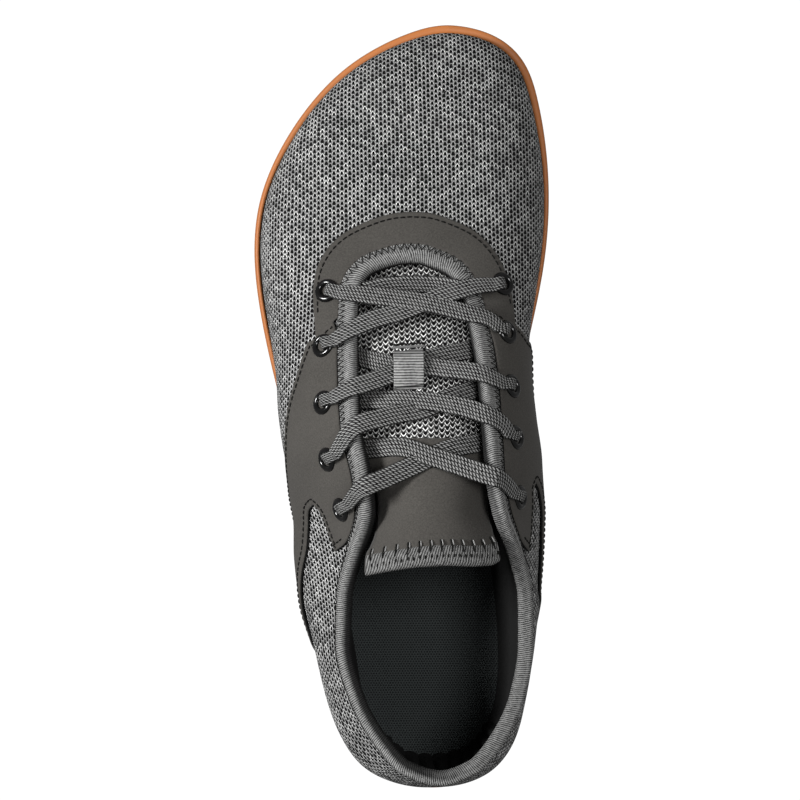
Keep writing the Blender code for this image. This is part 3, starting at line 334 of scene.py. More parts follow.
# The form of the shoe
def outline(angle, inset=0.0):
    """Plan point of the outline, this far in, and the outward direction there."""
    angle = np.asarray(angle, float)
    small = 1e-4
    point = np.stack([outline_x(angle) * BALL_WIDTH, -np.cos(angle) * LENGTH / 2], -1)
    run_x = (outline_x(angle + small) - outline_x(angle - small)) * BALL_WIDTH
    run_y = (np.cos(angle - small) - np.cos(angle + small)) * LENGTH / 2
    out = unit(np.stack([-run_y, run_x], -1))
    return point - out * np.asarray(inset, float)[..., None], out


def feather(angle):
    """How far in from the outline the upper stands, just inside the rim."""
    return RIM_LEAN + rim_wall(angle) + GAP


def insole_inset(angle):
    return feather(angle) + WALL + 2 * GAP


def spring(y):
    """Rise of the sole's underside towards the toe and, a little, at the very back of the heel."""
    along = np.asarray(y, float) / LENGTH + 0.5
    toe = np.clip((along - TOE_SPRING_START) / (1 - TOE_SPRING_START), 0, 1)
    heel = np.clip(1 - along / HEEL_LIFT_END, 0, 1)
    return TOE_SPRING * toe**2 + HEEL_LIFT * heel**2


def crest(angle):
    x = crest_x(angle) * BALL_WIDTH
    y = (crest_along(angle) - 0.5) * LENGTH
    return np.stack([x, y, crest_height(angle)], -1)


def last(angle, reach):
    """Outer face of the upper: reach runs from 0 at the rim to 1 at the crest."""
    angle = np.asarray(angle, float)
    reach = np.asarray(reach, float)[..., None]
    foot, out = outline(angle, feather(angle))
    start = np.concatenate([foot, rim_height(angle)[..., None]], -1)
    end = crest(angle)
    across = end[..., :2] - start[..., :2]
    distance = np.linalg.norm(across, axis=-1, keepdims=True)
    inward = across / distance
    rise = end[..., 2:] - start[..., 2:]
    lean = np.radians(crest_lean(angle))[..., None]
    climb = np.sin(lean) + ridge_fall(angle)[..., None] * inward[..., 1:]
    arrive = np.concatenate([inward * np.cos(lean), climb], -1)
    span = distance * np.cos(lean) + rise * np.sin(lean)
    swell = np.concatenate([out * bulge(angle)[..., None], upright_share(angle)[..., None] * rise], -1)
    first = start + swell
    second = end - arrive * crest_share(angle)[..., None] * span
    rest = 1 - reach
    return (
        rest**3 * start
        + 3 * rest**2 * reach * first
        + 3 * rest * reach**2 * second
        + reach**3 * end
    )


def last_normal(angle, reach):
    """Unit direction out of the upper's face."""
    small = 1e-3
    angle = np.asarray(angle, float)
    reach = np.asarray(reach, float)
    low = np.clip(reach - small, 0, 1)
    high = np.clip(reach + small, 0, 1)
    up = last(angle, high) - last(angle, low)
    held = np.clip(reach, 0, 1 - small)
    round_way = last(angle + small, held) - last(angle - small, held)
    return unit(np.cross(up, round_way))


def skin(angle, reach, lift):
    """A point this far above the upper's outer face, or below it where lift is negative."""
    on_ridge = (np.asarray(reach) > 0.999) & over_ridge(angle)
    normal = last_normal(angle, reach)
    other = last_normal(2 * math.pi - np.asarray(angle, float), reach)
    normal = np.where(on_ridge[..., None], unit(normal + other), normal)
    return last(angle, reach) + normal * lift


# Stations around the shoe, close together where the outline or the throat turns
def both_sides(shares):
    """Ring angles at these shares of the length: outer side, toe, inner side."""
    outer = [ring(share) for share in shares]
    inner = [2 * math.pi - angle for angle in reversed(outer) if 0 < angle < math.pi]
    return np.array(outer + inner)


STATIONS = (
    0.0, 0.006, 0.018, 0.038, 0.065, 0.1, 0.14, 0.18, 0.22, 0.26, 0.3, 0.34, 0.38, 0.42, 0.46, 0.5, 0.54,
    0.58, 0.62, 0.655, 0.69, 0.715, 0.735, 0.755, 0.772, 0.785, 0.81, 0.84, 0.87, 0.9, 0.925, 0.95, 0.97,
    0.985, 0.995, 1.0,
)
ANGLES = both_sides(STATIONS)


# Tread layout
ROW_SLOPE = 0.08
TREAD_ZONES = (
    # name, share of LENGTH where the zone starts, where it ends, pitch of rows, pitch of lugs
    ("heel", 0.02, 0.365, 0.0104, 0.0062),
    ("arch", 0.365, 0.655, 0.0076, 0.0052),
    ("ball", 0.655, 0.97, 0.0098, 0.0060),
)
ROW_CHANNEL = 0.0020
LUG_CHANNEL = 0.0012
# Where the curved bars of the toe start and those of the heel end, as plan points
TOE_WAVES_START = (
    (-0.056, 0.099),
    (-0.020, 0.103),
    (-0.008, 0.109),
    (0.004, 0.117),
    (0.020, 0.1255),
    (0.06, 0.1265),
)
HEEL_WAVES_END = (
    (-0.030, -0.150),
    (-0.008, -0.132),
    (0.000, -0.124),
    (0.010, -0.116),
    (0.025, -0.109),
    (0.038, -0.104),
    (0.060, -0.096),
)
WAVE_PITCH = 0.0052
WAVE_CHANNEL = 0.0014
PLATE_CENTRE = (0.0026, -0.0063)
PLATE_LONG = 0.032
PLATE_WIDE = 0.0085
PLATE_TURN = math.radians(11)
PLATE_MARGIN = 0.0016


def read_line(line, x):
    return np.interp(x, *zip(*line))


def plate_outline(count, grow=0.0):
    points = []
    for i in range(count):
        angle = 2 * math.pi * i / count
        across = (PLATE_WIDE + grow) * math.cos(angle)
        along = (PLATE_LONG + grow) * math.sin(angle)
        x = PLATE_CENTRE[0] + across * math.cos(PLATE_TURN) - along * math.sin(PLATE_TURN)
        y = PLATE_CENTRE[1] + across * math.sin(PLATE_TURN) + along * math.cos(PLATE_TURN)
        points.append((x, y))
    return points


def inside_plate(x, y):
    """Whether each spot lies on the plate or in the margin round it."""
    dx = x - PLATE_CENTRE[0]
    dy = y - PLATE_CENTRE[1]
    across = dx * math.cos(PLATE_TURN) + dy * math.sin(PLATE_TURN)
    along = -dx * math.sin(PLATE_TURN) + dy * math.cos(PLATE_TURN)
    return (across / (PLATE_WIDE + PLATE_MARGIN)) ** 2 + (along / (PLATE_LONG + PLATE_MARGIN)) ** 2 < 1


def inside_many(polygon, spots):
    """Whether each spot lies inside the polygon."""
    x, y = spots[:, 0], spots[:, 1]
    inside = np.zeros(len(spots), bool)
    for (x0, y0), (x1, y1) in zip(polygon, np.roll(polygon, -1, axis=0)):
        crosses = (y0 > y) != (y1 > y)
        at = (x1 - x0) * (y - y0) / (y1 - y0 if y1 != y0 else 1.0) + x0
        inside ^= crosses & (x < at)
    return inside


def lug_triangles(border):
    """Plan triangles of the lugs: rows of alternate up and down triangles inside the border."""
    lugs = []
    for _, start, end, row_pitch, lug_pitch in TREAD_ZONES:
        first = (start - 0.5) * LENGTH
        rows = int((end - start) * LENGTH / row_pitch + 0.5)
        half = lug_pitch - LUG_CHANNEL / 2
        tall = row_pitch - ROW_CHANNEL
        for row in range(rows):
            middle = first + (row + 0.5) * (end - start) * LENGTH / rows
            for column in range(-11, 12):
                x = column * lug_pitch + (row % 2) * lug_pitch
                y = middle + ROW_SLOPE * x
                way = 1 if column % 2 else -1
                base = y - way * tall / 2
                corners = np.array([(x - way * half, base), (x + way * half, base), (x, y + way * tall / 2)])
                if keeps_lug(corners, border):
                    lugs.append(corners)
    return lugs


def keeps_lug(corners, border):
    x, y = corners.T
    middles = (corners + np.roll(corners, 1, axis=0)) / 2
    in_waves = (y > read_line(TOE_WAVES_START, x) - 0.001) | (y < read_line(HEEL_WAVES_END, x) + 0.001)
    on_plate = inside_plate(x, y) | inside_plate(*middles.T)
    return inside_many(border, corners).all() and not in_waves.any() and not on_plate.any()


def wave_bars(border):
    """Long curved lands of the toe and heel, as plan polygons clipped to the border."""
    bars = []
    x = np.linspace(-0.054, 0.054, 37)
    for line, way, count in ((TOE_WAVES_START, 1, 6), (HEEL_WAVES_END, -1, 5)):
        for k in range(count):
            near = 0.0008 + k * WAVE_PITCH
            far = near + WAVE_PITCH - WAVE_CHANNEL
            low, high = (np.column_stack([x, read_line(line, x) + way * reach]) for reach in (near, far))
            kept = inside_many(border, low) & inside_many(border, high)
            if kept.sum() > 3:
                bar = [tuple(p) for p in np.concatenate([low[kept], high[kept][::-1]])]
                bars.append(bar if way > 0 else bar[::-1])
    return bars


def shrink(polygon, by):
    """The polygon with each corner moved in along the bisector of its edges."""
    moved = []
    count = len(polygon)
    for i in range(count):
        here = Vector(polygon[i])
        to_before = (Vector(polygon[i - 1]) - here).normalized()
        to_after = (Vector(polygon[(i + 1) % count]) - here).normalized()
        left = Vector((-to_after.y, to_after.x))
        half = (1 + to_before.dot(to_after)) / 2
        turn = math.sqrt(max(1 - half, 0.05))
        way = to_before + to_after
        if way.length < 1e-6:
            way = left
        way = way.normalized()
        if way.dot(left) < 0:
            way = -way
        moved.append(tuple(here + way * by / turn))
    return moved


# Tongue: share of LENGTH, outer x and inner x as shares of BALL_WIDTH, height at the edges and at the middle
TONGUE = (
    (0.300, -0.146, 0.282, 0.0820, 0.0925),
    (0.318, -0.142, 0.284, 0.0803, 0.0913),
    (0.332, -0.124, 0.279, 0.0787, 0.0904),
    (0.347, -0.110, 0.267, 0.0762, 0.0890),
    (0.380, -0.106, 0.256, 0.0695, 0.0860),
    (0.430, -0.140, 0.262, 0.0705, 0.0815),
    (0.480, -0.190, 0.265, 0.0655, 0.0765),
    (0.540, -0.200, 0.260, 0.0595, 0.0695),
    (0.600, -0.200, 0.240, 0.0530, 0.0620),
    (0.650, -0.195, 0.215, 0.0465, 0.0515),
    (0.700, -0.170, 0.190, 0.0420, 0.0455),
    (0.735, -0.150, 0.180, 0.0395, 0.0430),
)
TONGUE_THICK = 0.003

tongue_outer, tongue_inner, tongue_edge, tongue_middle = (
    steady(columns(TONGUE, 0)[0], values) for values in columns(TONGUE, 1, 2, 3, 4)
)


def tongue_face(along, across, lift=0.0):
    """Top face of the tongue: across runs from -1 at the outer edge to 1 at the inner edge."""
    left = tongue_outer(along)
    right = tongue_inner(along)
    x = (left + right) / 2 + across * (right - left) / 2
    low = tongue_edge(along)
    high = tongue_middle(along)
    z = low + (high - low) * (1 - np.abs(across) ** 2.2)
    return np.stack([x * BALL_WIDTH, (along - 0.5) * LENGTH, z + lift], -1)


# The edge of the opening, walked from the front of the throat along the outer side, round the heel and back
EDGE_ANGLES = np.linspace(ring(RIDGE_START), -ring(RIDGE_START), 1201)
EDGE_POINTS = crest(EDGE_ANGLES)
EDGE_LENGTHS = lengths_along(EDGE_POINTS)
EDGE_LENGTH = float(EDGE_LENGTHS[-1])


def edge_angle(distance):
    return np.interp(np.asarray(distance) % EDGE_LENGTH, EDGE_LENGTHS, EDGE_ANGLES)


def edge_frame(distance):
    """Point on the opening's edge, the way off from it over the upper's face, and the face's normal."""
    distance = np.asarray(distance, float)
    angle = edge_angle(distance)
    point = crest(angle)
    small = 0.0012
    along = unit(crest(edge_angle(distance + small)) - crest(edge_angle(distance - small)))
    near_tip = np.minimum(distance % EDGE_LENGTH, EDGE_LENGTH - distance % EDGE_LENGTH)
    share = np.clip(1 - near_tip / 0.004, 0, 1)[..., None]
    own = last_normal(angle, np.ones_like(angle))
    other = last_normal(2 * math.pi - angle, np.ones_like(angle))
    normal = own + other * share
    normal = unit(normal - along * np.sum(normal * along, axis=-1, keepdims=True))
    return point, np.cross(along, normal), normal


def surface_tree():
    angles, reaches = np.meshgrid(np.linspace(0, 2 * math.pi, 361), np.linspace(0, 1, 41), indexing="ij")
    places = np.column_stack([angles.ravel(), reaches.ravel()])
    points = last(places[:, 0], places[:, 1])
    tree = KDTree(len(points))
    for i, point in enumerate(points):
        tree.insert(point, i)
    tree.balance()
    return tree, places


TREE, TREE_PLACES = surface_tree()


def nearest_on_upper(points):
    """Ring angle and reach of the spot on the upper's face nearest to each point."""
    places = np.array([TREE_PLACES[TREE.find(point)[1]] for point in points])
    angle, reach = settle(points, places[:, 0], places[:, 1])
    miss = np.linalg.norm(last(angle, reach) - points, axis=1)
    across, low = settle(points, 2 * math.pi - angle, np.full_like(reach, 0.98))
    better = (reach > 0.97) & (np.linalg.norm(last(across, low) - points, axis=1) < miss)
    return np.where(better, across, angle), np.where(better, low, reach)


def slopes_at(angle, reach):
    """How the point on the upper's face moves with the angle and with the reach."""
    small = 1e-4
    round_way = (last(angle + small, reach) - last(angle - small, reach)) / (2 * small)
    up = (last(angle, reach + small) - last(angle, reach - small)) / (2 * small)
    return round_way, up


def settle(points, angle, reach):
    """Moves each spot over the face towards its point."""
    for _ in range(5):
        miss = points - last(angle, reach)
        round_way, up = slopes_at(angle, reach)
        a = np.sum(round_way * round_way, axis=1)
        b = np.sum(round_way * up, axis=1)
        c = np.sum(up * up, axis=1)
        e = np.sum(round_way * miss, axis=1)
        f = np.sum(up * miss, axis=1)
        scale = np.maximum(a * c - b * b, 1e-16)
        angle = angle + np.clip((c * e - b * f) / scale, -0.1, 0.1)
        reach = np.clip(reach + np.clip((a * f - b * e) / scale, -0.1, 0.1), 0, 1)
    return angle, reach


def beside_edge(distance, away, lift):
    """Points this far from the opening's edge, measured over the upper's face, and this far above it."""
    distance = np.asarray(distance, float)
    away = np.broadcast_to(np.asarray(away, float), distance.shape)
    point, outward, normal = edge_frame(distance)
    flat = point + outward * away[..., None]
    lifted = flat + normal * lift
    on_face = away > 1e-6
    if np.any(on_face):
        angle, reach = nearest_on_upper(flat[on_face])
        lifted[on_face] = skin(angle, reach, lift)
    return lifted


BINDING_OUT = 0.0055
# Front overlay: a band round the front of the throat, from the binding outwards
FRONT_WIDTH = (
    # distance from the tip of the throat along the edge, inner side negative, and width from the edge
    (-0.038, 0.0205),
    (-0.028, 0.0195),
    (-0.018, 0.0185),
    (0.000, 0.0175),
    (0.018, 0.0170),
    (0.028, 0.0158),
    (0.040, 0.0150),
)
FRONT_BACK_SLANT = 0.45
OVERLAY_START = BINDING_OUT + GAP


# Quarter overlays: shapes in ring angle and reach, laid over the upper and given a thickness
def flow(side, along):
    angle = ring(along)
    return angle if side == "outer" else 2 * math.pi - angle


def beside_binding(side, start, end):
    """Ring angle and reach just outside the binding, between two shares of LENGTH at the crest."""
    shares = np.linspace(start, end, 9)
    knots, table = columns(CREST, 0, 1)
    angles = np.array([flow(side, np.interp(share, table, knots)) for share in shares])
    walk = np.interp(-(angles if side == "outer" else angles - 2 * math.pi), -EDGE_ANGLES, EDGE_LENGTHS)
    point, outward, _ = edge_frame(walk)
    angle, reach = nearest_on_upper(point + outward * OVERLAY_START)
    return list(zip(angle.tolist(), reach.tolist()))


def eyelet_frame(side, along, reach):
    angle = np.array([flow(side, along)])
    reach = np.array([reach])
    base = last(angle, reach)[0]
    normal = last_normal(angle, reach)[0]
    first = unit(np.cross(normal, (0.0, 1.0, 0.0)))
    return base, first, np.cross(normal, first), normal


# Lace: flat ribbons as plan points, x as a share of BALL_WIDTH and y as a share of LENGTH.
# Each pair crosses over the tongue and is joined into one body, and the cross bar lies alone.
LACE_WIDTH = 0.0068
LACE_THICK = 0.0014
LACE_CLEAR = 0.0005
LACES = (
    (
        "lace_row_1",
        ((-0.255, 0.645), (-0.111, 0.639), (0.059, 0.630), (0.183, 0.618), (0.265, 0.609), (0.308, 0.594)),
        (
            (0.303, 0.654),
            (0.227, 0.652),
            (0.143, 0.644),
            (-0.029, 0.618),
            (-0.112, 0.609),
            (-0.196, 0.594),
            (-0.263, 0.576),
        ),
    ),
    (
        "lace_row_2",
        ((-0.142, 0.561), (-0.057, 0.553), (0.047, 0.551), (0.136, 0.547), (0.218, 0.543), (0.318, 0.527)),
        ((0.190, 0.571), (0.048, 0.559), (-0.052, 0.542), (-0.115, 0.533), (-0.198, 0.522), (-0.262, 0.507)),
    ),
    (
        "lace_row_3",
        ((-0.136, 0.509), (-0.034, 0.510), (0.092, 0.506), (0.214, 0.495), (0.295, 0.479), (0.323, 0.463)),
        ((0.200, 0.521), (0.137, 0.513), (0.050, 0.499), (-0.076, 0.489), (-0.177, 0.476), (-0.244, 0.438)),
    ),
    (
        "lace_row_4",
        ((-0.108, 0.450), (-0.037, 0.452), (0.076, 0.439), (0.210, 0.422), (0.292, 0.410), (0.340, 0.391)),
        ((0.216, 0.456), (0.130, 0.450), (0.005, 0.429), (-0.078, 0.415), (-0.159, 0.400), (-0.206, 0.376)),
    ),
)
LACE_BAR = ((-0.140, 0.647), (-0.069, 0.653), (0.017, 0.655), (0.092, 0.654), (0.160, 0.650))
KEEPER_X = (-0.050, 0.046)
KEEPER_Y = (0.522, 0.577)
KEEPER_RIB = 0.00095
KEEPER_BACK = (KEEPER_Y[0] - 0.5) * LENGTH
KEEPER_FRONT = (KEEPER_Y[1] - 0.5) * LENGTH - 0.0016
KEEPER_FIRST_RIB = KEEPER_FRONT - 0.0022


def plan_of(share):
    return np.array([share[0] * BALL_WIDTH, (share[1] - 0.5) * LENGTH])


def path_through(points, count):
    """Evenly spaced plan points on a smooth curve through these."""
    points = np.array(points)
    walk = lengths_along(points)
    places = np.linspace(0, walk[-1], count)
    tangents = np.gradient(points, walk, axis=0)
    i = np.clip(np.searchsorted(walk, places, side="right") - 1, 0, len(walk) - 2)
    step = (walk[i + 1] - walk[i])[:, None]
    t = (places - walk[i])[:, None] / step
    return hermite(t, step, points[i], points[i + 1], tangents[i], tangents[i + 1])


def upper_height(plan, lift):
    """Height, straight above each plan point, of a layer this thick on the upper's face."""
    guess = np.column_stack([plan, np.full(len(plan), 0.085)])
    angle, reach = nearest_on_upper(guess)
    for _ in range(8):
        miss = plan - last(angle, reach)[:, :2]
        round_way, up = slopes_at(angle, reach)
        scale = round_way[:, 0] * up[:, 1] - round_way[:, 1] * up[:, 0]
        scale = np.where(np.abs(scale) < 1e-9, 1e-9, scale)
        turn = (miss[:, 0] * up[:, 1] - miss[:, 1] * up[:, 0]) / scale
        climb = (round_way[:, 0] * miss[:, 1] - round_way[:, 1] * miss[:, 0]) / scale
        angle = angle + np.clip(turn, -0.05, 0.05)
        reach = np.clip(reach + np.clip(climb, -0.05, 0.05), 0, 1)
    facing_up = np.maximum(last_normal(angle, reach)[:, 2], 0.35)
    return last(angle, reach)[:, 2] + lift / facing_up


EDGE_TABLE = sorted(row[1:5] for row in CREST)


def lace_support(plan):
    """Height of what lies under the lace at each plan point."""
    shares = plan[:, 1] / LENGTH + 0.5
    knots, *tables = columns(EDGE_TABLE, 0, 1, 2, 3)
    outer_edge, inner_edge, edge_z = (np.interp(shares, knots, table) for table in tables)
    outer_edge = outer_edge * BALL_WIDTH
    inner_edge = inner_edge * BALL_WIDTH
    beyond = np.maximum(outer_edge - plan[:, 0], plan[:, 0] - inner_edge)
    heights = upper_height(plan, OVERLAY_LIFT + OVERLAY_THICK + GAP + EYELET_HEIGHT)
    for i in range(len(plan)):
        if beyond[i] < -0.0019:
            left = float(tongue_outer(shares[i])) * BALL_WIDTH
            right = float(tongue_inner(shares[i])) * BALL_WIDTH
            across = np.clip((2 * plan[i, 0] - left - right) / (right - left), -1, 1)
            heights[i] = tongue_face(shares[i], across)[2]
        elif beyond[i] < 0.0:
            heights[i] = edge_z[i] + 0.0016
    return heights


def taut(walk, heights):
    """The heights of a line pulled tight over these supports."""
    kept = [0]
    for i in range(1, len(walk)):
        while len(kept) > 1:
            a, b = kept[-2], kept[-1]
            rise_ab = (heights[b] - heights[a]) * (walk[i] - walk[a])
            rise_ai = (heights[i] - heights[a]) * (walk[b] - walk[a])
            if rise_ab > rise_ai:
                break
            kept.pop()
        kept.append(i)
    return np.interp(walk, walk[kept], heights[kept])


# Meshes
class Shape:
    """Collects grids, rings and caps into one mesh with texture coordinates in millimetres over 100."""

    def __init__(self):
        self.points = []
        self.faces = []
        self.uvs = []
        self.parts = []

    def grid(self, points, uvs=None, wrap_rows=False, wrap_columns=False, part=0, skip=None):
        """Four-sided faces between rows of points; the coordinates are the plan's unless given."""
        points = np.asarray(points, float)
        if uvs is None:
            uvs = points[..., :2] * 10
            uvs = np.concatenate([uvs, uvs[:1]]) if wrap_rows else uvs
            uvs = np.concatenate([uvs, uvs[:, :1]], 1) if wrap_columns else uvs
        rows, columns = points.shape[:2]
        start = len(self.points)
        self.points.extend(map(tuple, points.reshape(-1, 3)))
        for r in range(rows if wrap_rows else rows - 1):
            for c in range(columns if wrap_columns else columns - 1):
                if skip is not None and skip(r, c):
                    continue
                face = []
                for i, j in ((r, c), (r, c + 1), (r + 1, c + 1), (r + 1, c)):
                    face.append(start + (i % rows) * columns + j % columns)
                    self.uvs.append(tuple(uvs[i, j]))
                self.faces.append(tuple(face))
                self.parts.append(part)

    def face(self, points, part=0):
        start = len(self.points)
        self.points.extend(tuple(map(float, p)) for p in points)
        self.faces.append(tuple(range(start, start + len(points))))
        self.uvs.extend((float(p[0]) * 10, float(p[1]) * 10) for p in points)
        self.parts.append(part)

    def capped(self, points, uvs=None):
        """A closed tube of rows, with a face over each end."""
        self.grid(points, uvs, wrap_columns=True)
        self.face(points[0])
        self.face(points[-1][::-1])

    def triangles(self, points, triangles, part=0):
        start = len(self.points)
        self.points.extend(tuple(map(float, p)) for p in points)
        for triangle in triangles:
            self.faces.append(tuple(start + i for i in triangle))
            self.uvs.extend((points[i][0] * 10, points[i][1] * 10) for i in triangle)
            self.parts.append(part)

    def piece(self, name, materials, replaced=(), weld=2e-6):
        mesh = bpy.data.meshes.new(name)
        mesh.from_pydata(self.points, [], self.faces)
        layer = mesh.uv_layers.new(name="cloth")
        layer.data.foreach_set("uv", np.array(self.uvs, np.float32).ravel())
        for material in materials:
            mesh.materials.append(material)
        mesh.polygons.foreach_set("material_index", self.parts)
        mesh.polygons.foreach_set("use_smooth", [True] * len(self.faces))
        work = bmesh.new()
        work.from_mesh(mesh)
        bmesh.ops.remove_doubles(work, verts=work.verts, dist=weld)
        bmesh.ops.recalc_face_normals(work, faces=work.faces)
        work.to_mesh(mesh)
        work.free()
        obj = bpy.data.objects.new(name, mesh)
        bpy.context.scene.collection.objects.link(obj)
        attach(obj, "root")
        if replaced:
            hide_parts(*replaced)
        return obj


def runs(first, second):
    """Texture coordinates from a run for each row and one for each column."""
    return np.stack(np.broadcast_arrays(np.asarray(first)[:, None], np.asarray(second)), -1)


def evenly(points, spacing):
    """Points at this spacing along a line through these."""
    walk = lengths_along(points)
    count = max(2, int(walk[-1] / spacing + 0.5) + 1)
    places = np.linspace(0, walk[-1], count)
    return np.column_stack([np.interp(places, walk, points[:, k]) for k in range(points.shape[1])])


def tube(shape, points, radius, sides=6, ups=None, closed=False, part=0):
    """A round thread along these points, with rounded ends where it isn't closed."""
    points = np.asarray(points, float)
    along = unit(np.gradient(points, axis=0))
    if closed:
        along = unit(np.roll(points, -1, axis=0) - np.roll(points, 1, axis=0))
    ups = np.broadcast_to(np.array([0.0, 0.0, 1.0]) if ups is None else ups, points.shape)
    side = unit(np.cross(along, ups))
    up = np.cross(side, along)
    radii = np.full(len(points), radius)
    if not closed:
        radii[0] = radii[-1] = radius * 0.35
    turns = np.linspace(0, 2 * math.pi, sides, endpoint=False)
    ring_points = (
        points[:, None]
        + side[:, None] * (np.cos(turns) * radii[:, None])[..., None]
        + up[:, None] * (np.sin(turns) * radii[:, None])[..., None]
    )
    rows = len(points) + (1 if closed else 0)
    uvs = runs(np.arange(rows) * 0.01, np.arange(sides + 1) * 0.01)
    shape.grid(ring_points, uvs, wrap_rows=closed, wrap_columns=True, part=part)
    if not closed:
        shape.face(ring_points[0], part)
        shape.face(ring_points[-1][::-1], part)


def stitches(shape, line, normals, length, gap, radius, part=0):
    """A row of single stitches along a line, each one dipping in at its ends."""
    walk = lengths_along(line)
    count = int(walk[-1] / (length + gap))
    for k in range(count):
        start = (k + 0.5) * walk[-1] / count - length / 2
        places = start + length * np.array([0.0, 0.12, 0.5, 0.88, 1.0])
        centre = np.column_stack([np.interp(places, walk, line[:, a]) for a in range(3)])
        normal = unit(np.column_stack([np.interp(places, walk, normals[:, a]) for a in range(3)]))
        dip = np.array([-0.9, 0.1, 0.55, 0.1, -0.9])[:, None] * radius
        tube(shape, centre + normal * dip, radius, 6, normal, False, part)


# Materials. Pitches are in millimetres here, except the ribs of binding and keeper, which meshes use too.
RIB_PITCH = 0.00074
LANE_WIDE = 1.30
STRAND_PITCH = 1.25
STRAND_LEAN = 1.00


def shade(level):
    level = level / 255
    return level / 12.92 if level <= 0.04045 else ((level + 0.055) / 1.055) ** 2.4


def tint(red, green, blue):
    """A colour from screen values of 0 to 255."""
    return (shade(red), shade(green), shade(blue), 1.0)


def scaled(base, factor):
    """A colour made darker or paler."""
    return tuple(min(1.0, level * factor) for level in base[:3]) + (1.0,)


class Finish:
    """One Principled material, and short calls that lay out its nodes."""

    def __init__(self, name, roughness, sheen=0.0, specular=0.5):
        self.material = bpy.data.materials.new(name)
        self.material.use_nodes = True
        self.tree = self.material.node_tree
        self.shader = self.tree.nodes["Principled BSDF"]
        self.shader.inputs["Roughness"].default_value = roughness
        self.shader.inputs["Sheen Weight"].default_value = sheen
        self.shader.inputs["Sheen Roughness"].default_value = 0.5
        self.shader.inputs["Specular IOR Level"].default_value = specular

    def node(self, kind, **settings):
        made = self.tree.nodes.new("ShaderNode" + kind)
        for key, value in settings.items():
            setattr(made, key, value)
        return made

    def feed(self, socket, value):
        if isinstance(value, bpy.types.NodeSocket):
            self.tree.links.new(value, socket)
        elif value is not None:
            socket.default_value = value

    def math(self, operation, a, b=None, c=None):
        made = self.node("Math", operation=operation)
        for socket, value in zip(made.inputs, (a, b, c)):
            self.feed(socket, value)
        return made.outputs[0]

    def step(self, value, low, high, start=0.0, end=1.0):
        made = self.node("MapRange", interpolation_type="SMOOTHSTEP")
        for number, item in enumerate((value, low, high, start, end)):
            self.feed(made.inputs[number], item)
        return made.outputs[0]

    def mix(self, share, first, second):
        made = self.node("Mix", data_type="RGBA")
        self.feed(made.inputs[0], share)
        self.feed(made.inputs[6], first)
        self.feed(made.inputs[7], second)
        return made.outputs[2]

    def blend(self, level, dark, light):
        """From dark to light while the level runs from 0 to 1."""
        return self.mix(self.math("MINIMUM", self.math("MAXIMUM", level, 0.0), 1.0), dark, light)

    def distance(self, a, b):
        return self.math("SQRT", self.math("ADD", self.math("MULTIPLY", a, a), self.math("MULTIPLY", b, b)))

    def cloth(self):
        """Texture coordinates in millimetres."""
        made = self.node("UVMap", uv_map="cloth")
        split = self.node("SeparateXYZ")
        self.feed(split.inputs[0], made.outputs[0])
        return self.math("MULTIPLY", split.outputs[0], 100.0), self.math("MULTIPLY", split.outputs[1], 100.0)

    def place(self):
        return self.node("TexCoord").outputs["Object"]

    def noise(self, scale, detail=2.0, where=None, rough=0.5):
        made = self.node("TexNoise")
        self.feed(made.inputs["Vector"], self.place() if where is None else where)
        made.inputs["Scale"].default_value = scale
        made.inputs["Detail"].default_value = detail
        made.inputs["Roughness"].default_value = rough
        return made.outputs[0]

    def pair(self, x, y):
        made = self.node("CombineXYZ")
        self.feed(made.inputs[0], x)
        self.feed(made.inputs[1], y)
        return made.outputs[0]

    def chance(self, x, y):
        made = self.node("TexWhiteNoise", noise_dimensions="2D")
        self.feed(made.inputs["Vector"], self.pair(x, y))
        return made.outputs[0]

    def wave(self, value, pitch):
        """Runs from 0 to 1 and back once over each pitch."""
        turned = self.math("MULTIPLY", value, 2 * math.pi / pitch)
        return self.math("MULTIPLY_ADD", self.math("COSINE", turned), -0.5, 0.5)

    def colour(self, value):
        self.feed(self.shader.inputs["Base Color"], value)

    def roughness(self, value):
        self.feed(self.shader.inputs["Roughness"], value)

    def bump(self, height, distance, strength=1.0):
        made = self.node("Bump")
        made.inputs["Strength"].default_value = strength
        made.inputs["Distance"].default_value = distance
        self.feed(made.inputs["Height"], height)
        self.feed(self.shader.inputs["Normal"], made.outputs[0])


